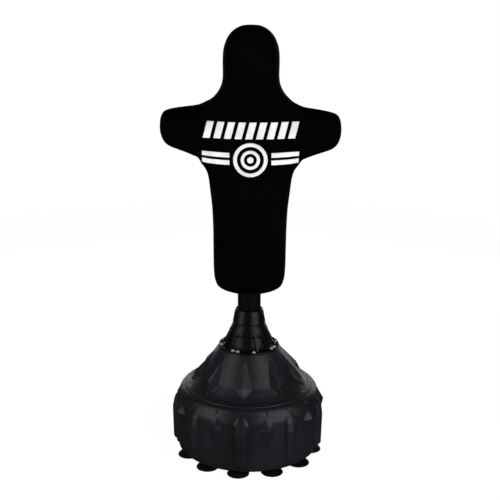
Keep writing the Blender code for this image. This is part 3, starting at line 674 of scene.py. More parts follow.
# The filler neck is turned: bore, mouth, ridges of thread and a boss that spreads towards the tank.
def fillerNeck(size):
    bore, spout, boss = size["bore"], size["spout"], size["bossLine"]
    root = spout - size["threadDepth"]
    line = [(bore, size["boreLow"]), (bore, size["mouth"]), (spout - 0.0012, size["mouth"])]
    for k in range(size["threads"]):
        top = size["threadTop"] - size["threadPitch"] * k
        line += [(root, top), (spout, top - 0.0006), (root, top - 0.0014)]
    line += [(root, boss[0][1] + 0.0006), *boss]
    return turnedPatch(softProfile(line, 0.0005, 0.006, 2), 72)


tank = makePiece(
    "tank", tankPatches(tankSize), tankPlastic, "base", 28.0, ["base_tank"]
)
print("tank:", len(tank.data.polygons), "faces")

# ---- filler cap and gasket ----

capSize = {"radius": 0.0308, "low": 0.3449, "top": 0.3630, "grips": 12, "depth": 0.0024}


# The cap is turned, then its side is pressed in by depth * max(0, cos(grips * a))^3. The power keeps
# each notch narrow, and the notches fade out towards the top.
def capPatches(size):
    radius, low, top = size["radius"], size["low"], size["top"]
    rim = [(0.0248, low), (0.0248, 0.3580), (0.004, 0.3580)][::-1]
    profile = [(0.003, top - 0.0016), (0.0150, top - 0.0016), (0.0175, top - 0.0004)]
    profile += [(0.0235, top), (radius - 0.0022, top), (radius, top - 0.0030)]
    profile += [(radius, low + 0.0012), (radius - 0.0012, low)]
    shape = softProfile(profile + rim[::-1], 0.0009, 0.0022, 3)
    steps = 240
    a = np.arange(steps) * 2 * math.pi / steps
    notch = np.clip(np.cos(size["grips"] * a), 0.0, 1.0) ** 3
    outside = (shape[:, 0] > radius - 0.0026)[:, None] * np.ones(steps)
    fade = np.clip((top - shape[:, 1]) / 0.004, 0.0, 1.0)[:, None]
    r = shape[:, :1] - size["depth"] * notch * fade * outside
    points = np.stack([r * np.sin(a), -r * np.cos(a), shape[:, 1:] + 0 * a], -1)
    return gridPatch(points, True, True, True)


fillerPlace = onRing(tankSize["filler"]["ring"], tankSize["filler"]["angle"])
makePiece(
    "fillerCap",
    [movePatch(capPatches(capSize), fillerPlace)],
    capPlastic,
    "filler_cap",
    40.0,
    ["filler_cap"],
)
gasketProfile = [(0.0205, 0.3577), (0.0243, 0.3577), (0.0245, 0.3570), (0.0243, 0.3564)]
gasketProfile += [(0.0207, 0.3564), (0.0205, 0.3570), (0.0205, 0.3577)]
makePiece(
    "fillerGasket",
    [movePatch(turnedPatch(gasketProfile, 72), fillerPlace)],
    cupRubber,
    "filler_liner",
    40.0,
    ["filler_gasket"],
)

# ---- suction cups ----

cupSize = {
    "ring": 0.256,
    "first": -8.5,
    "count": 12,
    "ribs": 18,
    "ribHeight": 0.0007,
    "outline": [
        (0.0085, 0.0278),
        (0.0090, 0.0197),
        (0.0180, 0.0187),
        (0.0225, 0.0168),
        (0.0250, 0.0165),
        (0.0360, 0.0095),
        (0.0395, 0.0075),
        (0.0430, 0.0030),
        (0.0437, 0.0010),
        (0.0430, 0.0002),
        (0.0400, 0.0003),
        (0.0370, 0.0016),
        (0.0260, 0.0062),
        (0.0040, 0.0085),
    ],
}


# The bell is turned, and its upper side carries ribs between two radii: ribHeight * cos(ribs * a / 2)^4.
def cupPatch(size):
    shape = softProfile(size["outline"], 0.002, 0.0022, 3)
    steps = 108
    a = np.arange(steps) * 2 * math.pi / steps
    radius, height = shape[:, :1], shape[:, 1:]
    upper = (np.arange(len(shape)) < np.argmax(shape[:, 0]))[:, None]
    band = np.clip((radius - 0.024) / 0.004, 0, 1) * np.clip((0.0405 - radius) / 0.003, 0, 1) * upper
    lifted = height + size["ribHeight"] * np.cos(size["ribs"] * a / 2) ** 4 * band
    points = np.stack([radius * np.sin(a), -radius * np.cos(a), lifted], -1)
    return gridPatch(points, True, True, True)


cupShape = cupPatch(cupSize)
for i in range(cupSize["count"]):
    turn = cupSize["first"] + 360.0 * i / cupSize["count"]
    makePiece(
        f"suctionCup{i + 1:02d}",
        [movePatch(cupShape, onRing(cupSize["ring"], turn), turn)],
        cupRubber,
        "base",
        40.0,
        [f"suction_cup_{i + 1:02d}"],
    )
print("filler and suction cups made")

# ---- neck housing ----

housingSize = {
    "pivot": 0.496,
    "dome": 0.0753,
    "wall": 0.005,
    "edgeAngle": 53.0,
    "cone": [
        (0.0748, 0.4900),
        (0.0790, 0.4800),
        (0.0865, 0.4630),
        (0.0950, 0.4520),
        (0.1010, 0.4470),
        (0.1185, 0.4470),
        (0.1200, 0.4456),
        (0.1200, 0.4403),
    ],
    "ribs": [a + 90.0 * q for q in range(4) for a in (-45.4, -8.2, 19.4)],
    "ribWidth": 0.0034,
    "ribEdge": 0.0009,
    "ribRing": 0.093,  # radius at which the columns beside a rib are spaced
    "ribTop": [(0.4470, 0.1075), (0.4600, 0.0990), (0.4940, 0.0822), (0.5100, 0.0765)],
    "screws": [a + 90.0 * q for q in range(4) for a in (-35.0, -23.5, 10.4)],
    "screwRing": 0.1085,
}


# Turned shell whose columns crowd together at the ribs. Across a rib, with x the distance from its
# middle, the surface goes from the cone to the rib's own line as smoothstep((w + e - |x|) / e).
def housingPatches(size):
    inner = size["dome"] - size["wall"]
    climb = np.radians(np.linspace(size["edgeAngle"], -4.0, 22))
    outside = np.stack([size["dome"] * np.cos(climb), size["pivot"] + size["dome"] * np.sin(climb)], -1)
    cone = softProfile(size["cone"], 0.003, 0.0020, 3)
    descent = np.radians(np.linspace(0.0, size["edgeAngle"], 12))
    inside = np.stack([inner * np.cos(descent), size["pivot"] + inner * np.sin(descent)], -1)
    profile = np.vstack([outside, cone, [[inner, size["cone"][-1][1]]], inside, outside[:1]])

    reach = size["ribWidth"] + size["ribEdge"]
    close = np.array([-1.6, -1.0, -0.9, -0.8, -0.72, -0.4, 0.0, 0.4, 0.72, 0.8, 0.9, 1.0, 1.6]) * reach
    middles = np.radians(size["ribs"])[:, None]
    crowded = (middles + close / size["ribRing"]).ravel() % (2 * math.pi)
    even = np.arange(0.0, 2 * math.pi, math.radians(2.4))
    gap = np.abs((even[:, None] - middles.ravel() + math.pi) % (2 * math.pi) - math.pi).min(1)
    angles = np.sort(np.concatenate([crowded, even[gap > 1.9 * reach / size["ribRing"]]]))

    nearest = np.abs((angles[:, None] - middles.ravel() + math.pi) % (2 * math.pi) - math.pi).min(1)
    radius, height = profile[:, :1], profile[:, 1:]
    across = radius * nearest
    share = np.clip((reach - across) / size["ribEdge"], 0.0, 1.0)
    share = share * share * (3 - 2 * share)
    ribZ, ribR = np.array(size["ribTop"]).T
    lineR = np.interp(height, ribZ, ribR)
    last = len(outside) + len(cone)
    counts = np.arange(len(profile))[:, None]
    outer = (counts > 3) & (counts < last) & (height < ribZ[-1]) & (height > 0.4445)
    rise = np.where(outer & (radius < lineR), lineR - radius, 0.0) * share
    r = radius + rise
    points = np.stack([r * np.sin(angles), -r * np.cos(angles), height + 0 * angles], -1)
    return [gridPatch(points, True)]


makePiece(
    "neckHousing",
    housingPatches(housingSize),
    neckPlastic,
    "base",
    32.0,
    ["neck_housing"],
)

# ---- flange screws: pan heads with a cross recess ----

screwSize = {
    "head": 0.0077,
    "height": 0.0045,
    "rimHeight": 0.0012,
    "seat": 0.4473,
    "armWidth": 0.0008,
    "armReach": 0.0036,
    "armDepth": 0.0020,
}


# With s the share of the head's radius, the head is rimHeight + (height - rimHeight) * sqrt(1 - s^2.6)
# high. The recess is a cross: it is cut where the smaller of |x| and |y| is under the arm's width, and
# fades out at the arm's reach.
def screwPatch(size):
    rings = np.concatenate([np.linspace(0.02, 0.62, 22), np.linspace(0.66, 1.0, 12)])
    steps = 96
    a = np.arange(steps) * 2 * math.pi / steps
    radius = (rings * size["head"])[:, None] + 0 * a
    rim = size["rimHeight"]
    dome = rim + (size["height"] - rim) * np.sqrt(np.clip(1 - rings**2.6, 0, 1))[:, None] + 0 * a
    x, y = radius * np.cos(a), radius * np.sin(a)
    narrow = np.minimum(np.abs(x), np.abs(y))
    edge = np.clip((size["armWidth"] - narrow) / 0.0003 + 0.5, 0, 1)
    reach = np.clip((size["armReach"] - radius) / 0.0005, 0, 1)
    top = dome - size["armDepth"] * edge * reach
    skirt = np.array([(1.0, 0.0006), (0.985, 0.0), (0.40, 0.0), (0.40, -0.012)])
    low = np.stack([skirt[:, :1] * size["head"] + 0 * a, skirt[:, 1:] + 0 * a], -1)
    r = np.vstack([radius, low[..., 0]])
    z = np.vstack([top, low[..., 1]])
    return gridPatch(np.stack([r * np.sin(a), -r * np.cos(a), z], -1), True, True, True)


screwShape = screwPatch(screwSize)
spin = np.random.default_rng(11).uniform(0.0, 90.0, len(housingSize["screws"]))
for i, turn in enumerate(housingSize["screws"]):
    spot = onRing(housingSize["screwRing"], turn, screwSize["seat"])
    makePiece(
        f"flangeScrew{i + 1:02d}",
        [movePatch(screwShape, spot, spin[i])],
        chrome,
        "base",
        45.0,
        [f"flange_screw_{i + 1:02d}"],
    )
print("neck housing and its screws made")

# ---- collar, pole and set screws ----

collarSize = {
    "outline": [
        (0.0458, 0.5965),
        (0.0475, 0.5972),
        (0.0505, 0.5968),
        (0.0540, 0.5935),
        (0.0560, 0.5880),
        (0.0585, 0.5780),
        (0.0612, 0.5610),
        (0.0636, 0.5470),
        (0.0645, 0.5460),
        (0.0648, 0.5425),
        (0.0645, 0.5413),
    ],
    "hollow": 0.0759,
    "pivot": 0.496,
    "hollowTop": 65.0,
}


def collarPatches(size):
    outer = softProfile(size["outline"], 0.0030, 0.0015, 4)
    first = math.degrees(math.asin((size["outline"][-1][1] - size["pivot"]) / size["hollow"]))
    climb = np.radians(np.linspace(first, size["hollowTop"], 14))
    hollow = np.stack([size["hollow"] * np.cos(climb), size["pivot"] + size["hollow"] * np.sin(climb)], -1)
    shelf = [[0.0265, 0.5675], [0.0265, 0.5750], [0.0458, 0.5750], [0.0458, 0.5965]]
    return [turnedPatch(np.vstack([outer, hollow, shelf]), 144)]


makePiece(
    "upperCollar",
    collarPatches(collarSize),
    neckPlastic,
    "mannequin",
    36.0,
    ["upper_collar"],
)

poleSize = {"outer": 0.0455, "inner": 0.0425, "low": 0.5753, "top": 1.2500}
poleProfile = [
    (poleSize["inner"], poleSize["top"]),
    (poleSize["outer"] - 0.0006, poleSize["top"]),
    (poleSize["outer"], poleSize["top"] - 0.0006),
    (poleSize["outer"], poleSize["low"] + 0.0006),
    (poleSize["outer"] - 0.0006, poleSize["low"]),
    (poleSize["inner"], poleSize["low"]),
    (poleSize["inner"], poleSize["top"]),
]
poleLine = softProfile(poleProfile, 0.0003, 0.05, 2)
makePiece(
    "pole", [turnedPatch(poleLine, 128)], polePlastic, "mannequin", 40.0, ["pole_tube"]
)

# The distances out are from the collar's axis.
setScrewSize = {
    "angles": (135.0, 225.0),
    "height": 0.586,
    "apothem": 0.0014,
    "rim": 0.0024,
    "radius": 0.0030,
    "socketFloor": 0.0545,
    "face": 0.0563,
    "shoulder": 0.0559,
    "end": 0.0462,
}


# A set screw is a bar with a six-sided hole, whose radius at a is apothem / cos(a mod 60 - 30).
def setScrewPatch(size):
    a = np.arange(72) * 2 * math.pi / 72
    hexagon = size["apothem"] / np.cos((a % (math.pi / 3)) - math.pi / 6)
    bar = 0 * a + size["radius"]
    r = np.stack([hexagon, hexagon, 0 * a + size["rim"], bar, bar])
    levels = [size["socketFloor"], size["face"], size["face"], size["shoulder"], size["end"]]
    z = np.array(levels)[:, None] + 0 * a
    return gridPatch(np.stack([r * np.sin(a), -r * np.cos(a), z], -1), True, True, True)


setScrewShape = setScrewPatch(setScrewSize)
upwards = np.array([[0.0, 0.0, 1.0]])
for i, turn in enumerate(setScrewSize["angles"]):
    along = np.array([onRing(1.0, turn)])
    side = np.array([onRing(1.0, turn + 90.0)])
    placed = framePatch(setScrewShape, upwards * setScrewSize["height"], side, upwards, along)
    makePiece(
        f"setScrew{i + 1}",
        [placed],
        steel,
        "mannequin",
        40.0,
        [f"collar_set_screw_{i + 1}"],
    )
print("collar and pole made")

# ---- padded figure ----

figureSize = {
    # height, half width, half depth of the head, neck, torso and its rounded bottom
    "rings": [
        (1.7005, 0.012, 0.012),
        (1.6980, 0.034, 0.030),
        (1.6900, 0.053, 0.050),
        (1.6780, 0.0705, 0.066),
        (1.6600, 0.0862, 0.080),
        (1.6410, 0.0962, 0.088),
        (1.6120, 0.1052, 0.094),
        (1.5800, 0.1082, 0.096),
        (1.5400, 0.1082, 0.095),
        (1.5090, 0.1080, 0.093),
        (1.4790, 0.1130, 0.094),
        (1.4490, 0.1290, 0.098),
        (1.4190, 0.1580, 0.103),
        (1.3890, 0.1850, 0.108),
        (1.3400, 0.2000, 0.111),
        (1.2900, 0.2050, 0.112),
        (1.2400, 0.2030, 0.112),
        (1.1900, 0.1960, 0.1115),
        (1.1590, 0.1745, 0.111),
        (1.1280, 0.1632, 0.1105),
        (1.0650, 0.1550, 0.1100),
        (1.0020, 0.1482, 0.1095),
        (0.9300, 0.1450, 0.1085),
        (0.8500, 0.1440, 0.1075),
        (0.7750, 0.1432, 0.1060),
        (0.7260, 0.1402, 0.1020),
        (0.7000, 0.1330, 0.0960),
        (0.6860, 0.1215, 0.0880),
        (0.6770, 0.1030, 0.0765),
        (0.6710, 0.0840, 0.0660),
        (0.6670, 0.0650, 0.0580),
        (0.6675, 0.0520, 0.0510),
    ],
    # distance out, low edge, high edge and half depth of an arm
    "arm": [
        (0.050, 1.196, 1.4400, 0.080),
        (0.113, 1.196, 1.4400, 0.088),
        (0.160, 1.188, 1.4200, 0.088),
        (0.197, 1.196, 1.4030, 0.084),
        (0.240, 1.2130, 1.3960, 0.080),
        (0.282, 1.2270, 1.3895, 0.077),
        (0.306, 1.2370, 1.3840, 0.074),
        (0.3230, 1.2490, 1.3780, 0.070),
        (0.3340, 1.2640, 1.3680, 0.062),
        (0.3410, 1.2820, 1.3530, 0.048),
        (0.3444, 1.2980, 1.3370, 0.030),
        (0.3454, 1.3110, 1.3240, 0.012),
    ],
    "armLean": 0.014,  # fall of the arms towards +X
    "power": 2.35,
    "armPower": 2.2,
    "voxel": 0.0056,
    "smoothing": 14,
    "backPlane": 0.1104,  # the back is drawn towards this plane round the zip
    "zip": (0.795, 1.205),
    "flatHalf": 0.075,
    "flatMargin": 0.06,
    "flatBlend": 0.05,
    "cloth": {
        "startInset": 0.0030,
        "seamBand": 0.006,
        "zipBand": 0.016,
        "hemTop": 0.680,
        "mass": 0.3,
        "stretch": 18.0,
        "bend": 0.6,
        "pressure": 4.0,
        "frames": 20,
        "cap": 0.0070,
    },
}


# A ring of the figure is a superellipse: x = W sgn(s)|s|^(2/n), y = -D sgn(c)|c|^(2/n).
def superRings(halfWidth, halfDepth, power, steps):
    a = np.arange(steps) * 2 * math.pi / steps
    s, c = np.sin(a), np.cos(a)
    x = halfWidth[:, None] * np.sign(s) * np.abs(s) ** (2 / power)
    y = -halfDepth[:, None] * np.sign(c) * np.abs(c) ** (2 / power)
    return x, y


# Catmull-Rom curve through the listed rows, which are spaced by their distance along the list.
def smoothRows(rows, count):
    rows = np.asarray(rows, float)
    step = np.linalg.norm(np.diff(rows[:, :3], axis=0), axis=1)
    at = np.concatenate([[0.0], np.cumsum(step)])
    padded = np.vstack([2 * rows[0] - rows[1], rows, 2 * rows[-1] - rows[-2]])
    want = np.linspace(0.0, at[-1], count)
    i = np.clip(np.searchsorted(at, want, "right") - 1, 0, len(rows) - 2)
    t = ((want - at[i]) / (at[i + 1] - at[i]))[:, None]
    p0, p1, p2, p3 = padded[i], padded[i + 1], padded[i + 2], padded[i + 3]
    return 0.5 * (
        2 * p1 + (p2 - p0) * t + (2 * p0 - 5 * p1 + 4 * p2 - p3) * t**2 + (3 * p1 - p0 - 3 * p2 + p3) * t**3
    )


def figurePatches(size):
    rows = smoothRows(size["rings"], 170)
    x, y = superRings(rows[:, 1], rows[:, 2], size["power"], 96)
    trunk = gridPatch(np.stack([x, y, rows[:, :1] + 0 * x], -1), True, True, True)
    arm = smoothRows(size["arm"], 70)[::-1]
    middle, tall = (arm[:, 1] + arm[:, 2]) / 2, (arm[:, 2] - arm[:, 1]) / 2
    a = np.arange(72) * 2 * math.pi / 72
    s, c = np.sin(a), np.cos(a)
    bend = 2 / size["armPower"]
    depth = -arm[:, 3:] * np.sign(c) * np.abs(c) ** bend
    height = middle[:, None] + tall[:, None] * np.sign(s) * np.abs(s) ** bend
    out = arm[:, :1] + 0 * depth
    fall = size["armLean"] * out
    right = np.stack([out, depth, height - fall], -1)[:, ::-1]
    left = np.stack([-out, depth, height + fall], -1)
    return [trunk, gridPatch(right, True, True, True), gridPatch(left, True, True, True)]


def evaluatedCopy(piece):
    graph = bpy.context.evaluated_depsgraph_get()
    return bpy.data.meshes.new_from_object(piece.evaluated_get(graph))


def pointsOf(mesh):
    flat = np.zeros(len(mesh.vertices) * 3, np.float32)
    mesh.vertices.foreach_get("co", flat)
    return flat.reshape(-1, 3).astype(float)


def putPoints(mesh, points):
    mesh.vertices.foreach_set("co", points.astype(np.float32).ravel())
    mesh.update()


def normalsOf(mesh):
    flat = np.zeros(len(mesh.vertices) * 3, np.float32)
    mesh.vertex_normals.foreach_get("vector", flat)
    return flat.reshape(-1, 3).astype(float)


# Taubin smoothing: every point moves towards the mean of its neighbours and then a little back.
def relax(mesh, rounds, forward=0.55, back=-0.56):
    edges = np.zeros(len(mesh.edges) * 2, np.int32)
    mesh.edges.foreach_get("vertices", edges)
    first, second = edges.reshape(-1, 2).T
    points = pointsOf(mesh)
    degree = np.bincount(edges, minlength=len(points))[:, None]
    for k in range(rounds * 2):
        total = np.zeros_like(points)
        for axis in range(3):
            total[:, axis] += np.bincount(first, points[second, axis], len(points))
            total[:, axis] += np.bincount(second, points[first, axis], len(points))
        pull = forward if k % 2 == 0 else back
        points += pull * (total / degree - points)
    putPoints(mesh, points)


def makeFigure(size):
    figure = makePiece("figureCover", figurePatches(size), coverFabric, "mannequin")
    remesh = figure.modifiers.new("voxels", "REMESH")
    remesh.mode = "VOXEL"
    remesh.voxel_size = size["voxel"]
    figure.data = evaluatedCopy(figure)
    figure.modifiers.clear()
    relax(figure.data, size["smoothing"], 0.55, -0.50)
    goal = pointsOf(figure.data)
    normals = normalsOf(figure.data)
    settle(figure, size["cloth"], size["zip"], goal, normals)
    points = pointsOf(figure.data)
    low, high = size["zip"]
    margin, blend = size["flatMargin"], size["flatBlend"]
    near = np.clip((size["flatHalf"] - np.abs(points[:, 0])) / blend, 0, 1)
    above = np.clip((points[:, 2] - low + margin) / blend, 0, 1)
    near *= above * np.clip((high + margin - points[:, 2]) / blend, 0, 1)
    near = np.where(points[:, 1] > 0.05, near * near * (3 - 2 * near), 0.0)
    points[:, 1] += near * (size["backPlane"] - points[:, 1])
    putPoints(figure.data, points)
    finish = figure.modifiers.new("finer", "SUBSURF")
    finish.levels = finish.render_levels = 1
    figure.data = evaluatedCopy(figure)
    figure.modifiers.clear()
    figure.data.materials.clear()
    figure.data.materials.append(coverFabric)
    figure.data.shade_smooth()
    return figure


# Inflates the cover as cloth: it starts inside its final shape, is held along the side seam, the hem
# and the zip, swells under pressure, and no point ends further than the cap from where it began.
def settle(figure, size, zipHeights, goal, normals):
    start = goal - normals * size["startInset"]
    putPoints(figure.data, start)
    side = np.abs(goal[:, 1]) < size["seamBand"]
    zipped = (np.abs(goal[:, 0]) < size["zipBand"]) & (goal[:, 1] > 0.05)
    zipped &= (goal[:, 2] > zipHeights[0]) & (goal[:, 2] < zipHeights[1])
    held = side | zipped | (goal[:, 2] < size["hemTop"])
    group = figure.vertex_groups.new(name="held")
    group.add(np.flatnonzero(held).tolist(), 1.0, "REPLACE")
    cloth = figure.modifiers.new("stuffing", "CLOTH")
    cloth.settings.quality = 5
    cloth.settings.mass = size["mass"]
    cloth.settings.tension_stiffness = size["stretch"]
    cloth.settings.compression_stiffness = size["stretch"]
    cloth.settings.bending_stiffness = size["bend"]
    cloth.settings.use_pressure = True
    cloth.settings.uniform_pressure_force = size["pressure"]
    cloth.settings.vertex_group_mass = "held"
    cloth.settings.effector_weights.gravity = 0.0
    cloth.collision_settings.use_collision = False
    cloth.point_cache.frame_start, cloth.point_cache.frame_end = 1, size["frames"]
    scene = bpy.context.scene
    for step in range(1, size["frames"] + 1):
        scene.frame_set(step)
    settled = evaluatedCopy(figure)
    moved = pointsOf(settled) - start
    length = np.linalg.norm(moved, axis=1)[:, None]
    moved *= np.minimum(1.0, size["cap"] / np.maximum(length, 1e-9))
    figure.modifiers.clear()
    scene.frame_set(1)
    putPoints(figure.data, start + moved)
    relax(figure.data, 3)
    print("cover inflated: mean move", round(float(length.mean() * 1000), 2), "mm")


figure = makeFigure(figureSize)
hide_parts("cover", "foam_core")
print("figure:", len(figure.data.polygons), "faces")


# Points dropped on the figure and moved out by an offset: onto the nearest point of its surface, or
# straight along +Y.
def ontoFigure(points, offset, alongY=False):
    shape = points.shape
    mesh = bpy.data.meshes.new("probe")
    mesh.from_pydata(points.reshape(-1, 3).tolist(), [], [])
    probe = bpy.data.objects.new("probe", mesh)
    bpy.context.scene.collection.objects.link(probe)
    wrap = probe.modifiers.new("wrap", "SHRINKWRAP")
    wrap.target = figure
    wrap.offset = offset
    if alongY:
        wrap.wrap_method = "PROJECT"
        wrap.use_project_y = True
        wrap.use_negative_direction = False
        wrap.use_positive_direction = True
    else:
        wrap.wrap_mode = "ABOVE_SURFACE"
    bpy.context.view_layer.update()
    made = evaluatedCopy(probe)
    found = pointsOf(made).reshape(shape)
    bpy.data.objects.remove(probe, do_unlink=True)
    bpy.data.meshes.remove(made)
    return found


# Evenly spaced points along a line of points.
def evenly(path, spacing):
    length = np.concatenate([[0.0], np.cumsum(np.linalg.norm(np.diff(path, axis=0), axis=1))])
    want = np.arange(spacing / 2, length[-1], spacing)
    return np.stack([np.interp(want, length, path[:, k]) for k in range(3)], -1)


# A path laid on the figure, with the frame of each of its points: side, out and along.
def framesOn(path, offset):
    base = ontoFigure(path, offset)
    higher = ontoFigure(path, offset + 0.004)
    outs = higher - base
    outs /= np.maximum(np.linalg.norm(outs, axis=1), 1e-9)[:, None]
    alongs = np.gradient(base, axis=0)
    alongs /= np.maximum(np.linalg.norm(alongs, axis=1), 1e-9)[:, None]
    sides = np.cross(outs, alongs)
    sides /= np.maximum(np.linalg.norm(sides, axis=1), 1e-9)[:, None]
    return base, sides, outs, alongs


# ---- seams, stitches and hem ----

seamSize = {
    "outline": [  # half of the side seam, from the hem up one side to the top of the head
        (0.075, 0.674),
        (0.112, 0.686),
        (0.138, 0.715),
        (0.144, 0.800),
        (0.146, 0.930),
        (0.155, 1.065),
        (0.163, 1.128),
        (0.178, 1.170),
        (0.205, 1.203),
        (0.265, 1.224),
        (0.320, 1.247),
        (0.341, 1.283),
        (0.345, 1.318),
        (0.338, 1.360),
        (0.318, 1.380),
        (0.270, 1.392),
        (0.200, 1.402),
        (0.150, 1.427),
        (0.120, 1.462),
        (0.110, 1.510),
        (0.108, 1.590),
        (0.098, 1.638),
        (0.070, 1.680),
        (0.034, 1.698),
        (0.0, 1.7005),
    ],
    "ridge": (0.0016, 0.0009),
    "stitchPitch": 0.0052,
    "stitchLength": 0.0034,
    "stitchRadius": 0.00042,
    "rowGap": 0.0055,
}


# One stitch is a short bar whose ends dip: z = half * cos(v), x = r sin(v)^0.4 cos(u) and
# y = r sin(v)^0.4 sin(u) - r / 2 * (z / half)^2.
def stitchPatch(size):
    u = np.arange(6) * 2 * math.pi / 6
    v = np.linspace(0.0, math.pi, 7)[1:-1][:, None]
    half, radius = size["stitchLength"] / 2, size["stitchRadius"]
    z = half * np.cos(v) + 0 * u
    x = radius * np.sin(v) ** 0.4 * np.cos(u)
    y = radius * np.sin(v) ** 0.4 * np.sin(u) - 0.5 * radius * (z / half) ** 2
    return gridPatch(np.stack([x, y, z], -1), True, True, True)


stitchShape = stitchPatch(seamSize)
stitchRows = []


def sewAlong(path, gaps):
    spots = evenly(path, seamSize["stitchPitch"])
    base, sides, outs, alongs = framesOn(spots, 0.0002)
    for gap in gaps:
        centre = ontoFigure(base + sides * gap, 0.0002)
        stitchRows.append(framePatch(stitchShape, centre, sides, outs, alongs))


halfSeam = smoothRows([(x, 0.0, z) for x, z in seamSize["outline"]], 420)
wholeSeam = np.vstack([halfSeam, halfSeam[-2::-1] * np.array([-1.0, 1.0, 1.0])])
onArm = np.clip((np.abs(wholeSeam[:, 0]) - 0.12) / 0.08, 0, 1)
wholeSeam[:, 2] -= figureSize["armLean"] * onArm * wholeSeam[:, 0]
seamPath = evenly(wholeSeam, 0.006)
seamFrames = framesOn(seamPath, 0.0)
ridgeWidth, ridgeHeight = seamSize["ridge"]
makePiece(
    "sideSeam",
    [tubePatch(seamFrames[0], seamFrames[1], seamFrames[2], ridgeWidth, ridgeHeight, 8)],
    trimFabric,
    "mannequin",
)
sewAlong(wholeSeam, (-seamSize["rowGap"], seamSize["rowGap"]))

# The hem is an oval ring of gathers: a torus whose thickness changes as 1 + g * cos(n * a).
hemSize = {
    "height": 0.6700,
    "width": 0.0600,
    "depth": 0.0580,
    "thick": 0.0034,
    "gathers": 46,
    "gather": 0.22,
    "stitchOval": (0.062, 0.058, 0.668),  # half width, half depth and height, before its spreads
    "stitchSpreads": (1.32, 1.42),
}


def hemPatch(size):
    a = np.arange(368) * 2 * math.pi / 368
    b = (np.arange(12) * 2 * math.pi / 12)[:, None]
    thick = size["thick"] * (1 + size["gather"] * np.cos(size["gathers"] * a))
    away = thick * np.cos(b)
    x = (size["width"] + away) * np.sin(a)
    y = -(size["depth"] + away) * np.cos(a)
    z = size["height"] - thick * np.sin(b) * 0.8
    points = np.stack([x, y, z + 0 * a], -1)
    return gridPatch(np.vstack([points, points[:1]]), True)


makePiece("coverHem", [hemPatch(hemSize)], trimFabric, "mannequin")
ringAngle = np.linspace(0.0, 2 * math.pi, 241)
ovalWidth, ovalDepth, ovalHeight = hemSize["stitchOval"]
for spread in hemSize["stitchSpreads"]:
    x, y = ovalWidth * spread * np.sin(ringAngle), -ovalDepth * spread * np.cos(ringAngle)
    sewAlong(np.stack([x, y, 0 * ringAngle + ovalHeight], -1), (0.0,))
print("seams:", len(stitchRows), "rows of stitches")

# ---- back zip ----

zipSize = {
    "tapeHalf": 0.0130,
    "tapeBack": 0.11095,
    "tapeFace": 0.11215,
    "low": 0.800,
    "high": 1.200,
    "pitch": 0.0030,
    "tooth": np.array([0.0024, 0.0007, 0.00065]),  # half sizes
    "toothFace": 0.1135,
    "toothEnds": (0.0115, 0.011),  # clear of the teeth at the bottom and the top of the tape
    "stops": {"zipLowerStop": ("zip_lower_stop", 0.8068), "zipUpperStop": ("zip_upper_stop", 1.1932)},
    "stitchOut": 0.0100,
    "pin": (0.121046, 0.81898),  # y and z of the bar that the pull swings on
    "grips": 4,
    "gripPitch": 0.0030,
}


# Each half of the tape is a thin slab with a rolled edge.
def tapePatches(size):
    patches = []
    for side in (-1.0, 1.0):
        near, far = sorted((side * 0.0007, side * size["tapeHalf"]))
        low = (near, size["tapeBack"], size["low"])
        high = (far, size["tapeFace"] - 0.0002, size["high"])
        patches.append(roundedBox(low, high, 0.0004, 2))
        edge = side * (size["tapeHalf"] - 0.0006)
        z = np.linspace(size["low"] + 0.001, size["high"] - 0.001, 200)
        path = np.stack([0 * z + edge, 0 * z + size["tapeFace"] - 0.0004, z], -1)
        sideways, outwards = np.tile([1.0, 0.0, 0.0], (200, 1)), np.tile([0.0, 1.0, 0.0], (200, 1))
        patches.append(tubePatch(path, sideways, outwards, 0.0007, 0.0006, 8))
    return patches


makePiece("zipTape", tapePatches(zipSize), tapeFabric, "mannequin", 38.0, ["zip_tape"])
toothShape = roundedBox(-zipSize["tooth"], zipSize["tooth"], 0.0004, 1)
clearLow, clearHigh = zipSize["toothEnds"]
toothHeights = np.arange(zipSize["low"] + clearLow, zipSize["high"] - clearHigh, zipSize["pitch"])
toothY = zipSize["toothFace"] - zipSize["tooth"][1]
leftTeeth = np.stack([0 * toothHeights - 0.0015, 0 * toothHeights + toothY, toothHeights], -1)
rightTeeth = leftTeeth * np.array([-1.0, 1.0, 1.0]) + np.array([0.0, 0.0, zipSize["pitch"] / 2])
makePiece(
    "zipTeeth",
    [repeatPatch(toothShape, np.vstack([leftTeeth, rightTeeth]))],
    zipMetal,
    "mannequin",
    38.0,
    ["zip_teeth"],
)
for name, (node, level) in zipSize["stops"].items():
    stop = roundedBox((-0.0046, 0.1123, level - 0.0026), (0.0046, 0.1151, level + 0.0026), 0.0008, 3)
    makePiece(name, [stop], zipMetal, "mannequin", 40.0, [node])
for side in (-1.0, 1.0):
    z = np.arange(zipSize["low"] + 0.004, zipSize["high"] - 0.002, seamSize["stitchPitch"] * 0.8)
    count = len(z)
    spots = np.stack([0 * z + side * zipSize["stitchOut"], 0 * z + zipSize["tapeFace"] - 0.00005, z], -1)
    axes = [np.tile(v, (count, 1)) for v in ([1.0, 0.0, 0.0], [0.0, 1.0, 0.0], [0.0, 0.0, 1.0])]
    stitchRows.append(framePatch(stitchShape, spots, *axes))

makePiece("coverStitches", stitchRows, tapeFabric, "mannequin")

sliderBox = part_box("zip_slider")
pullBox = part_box("zip_pull")


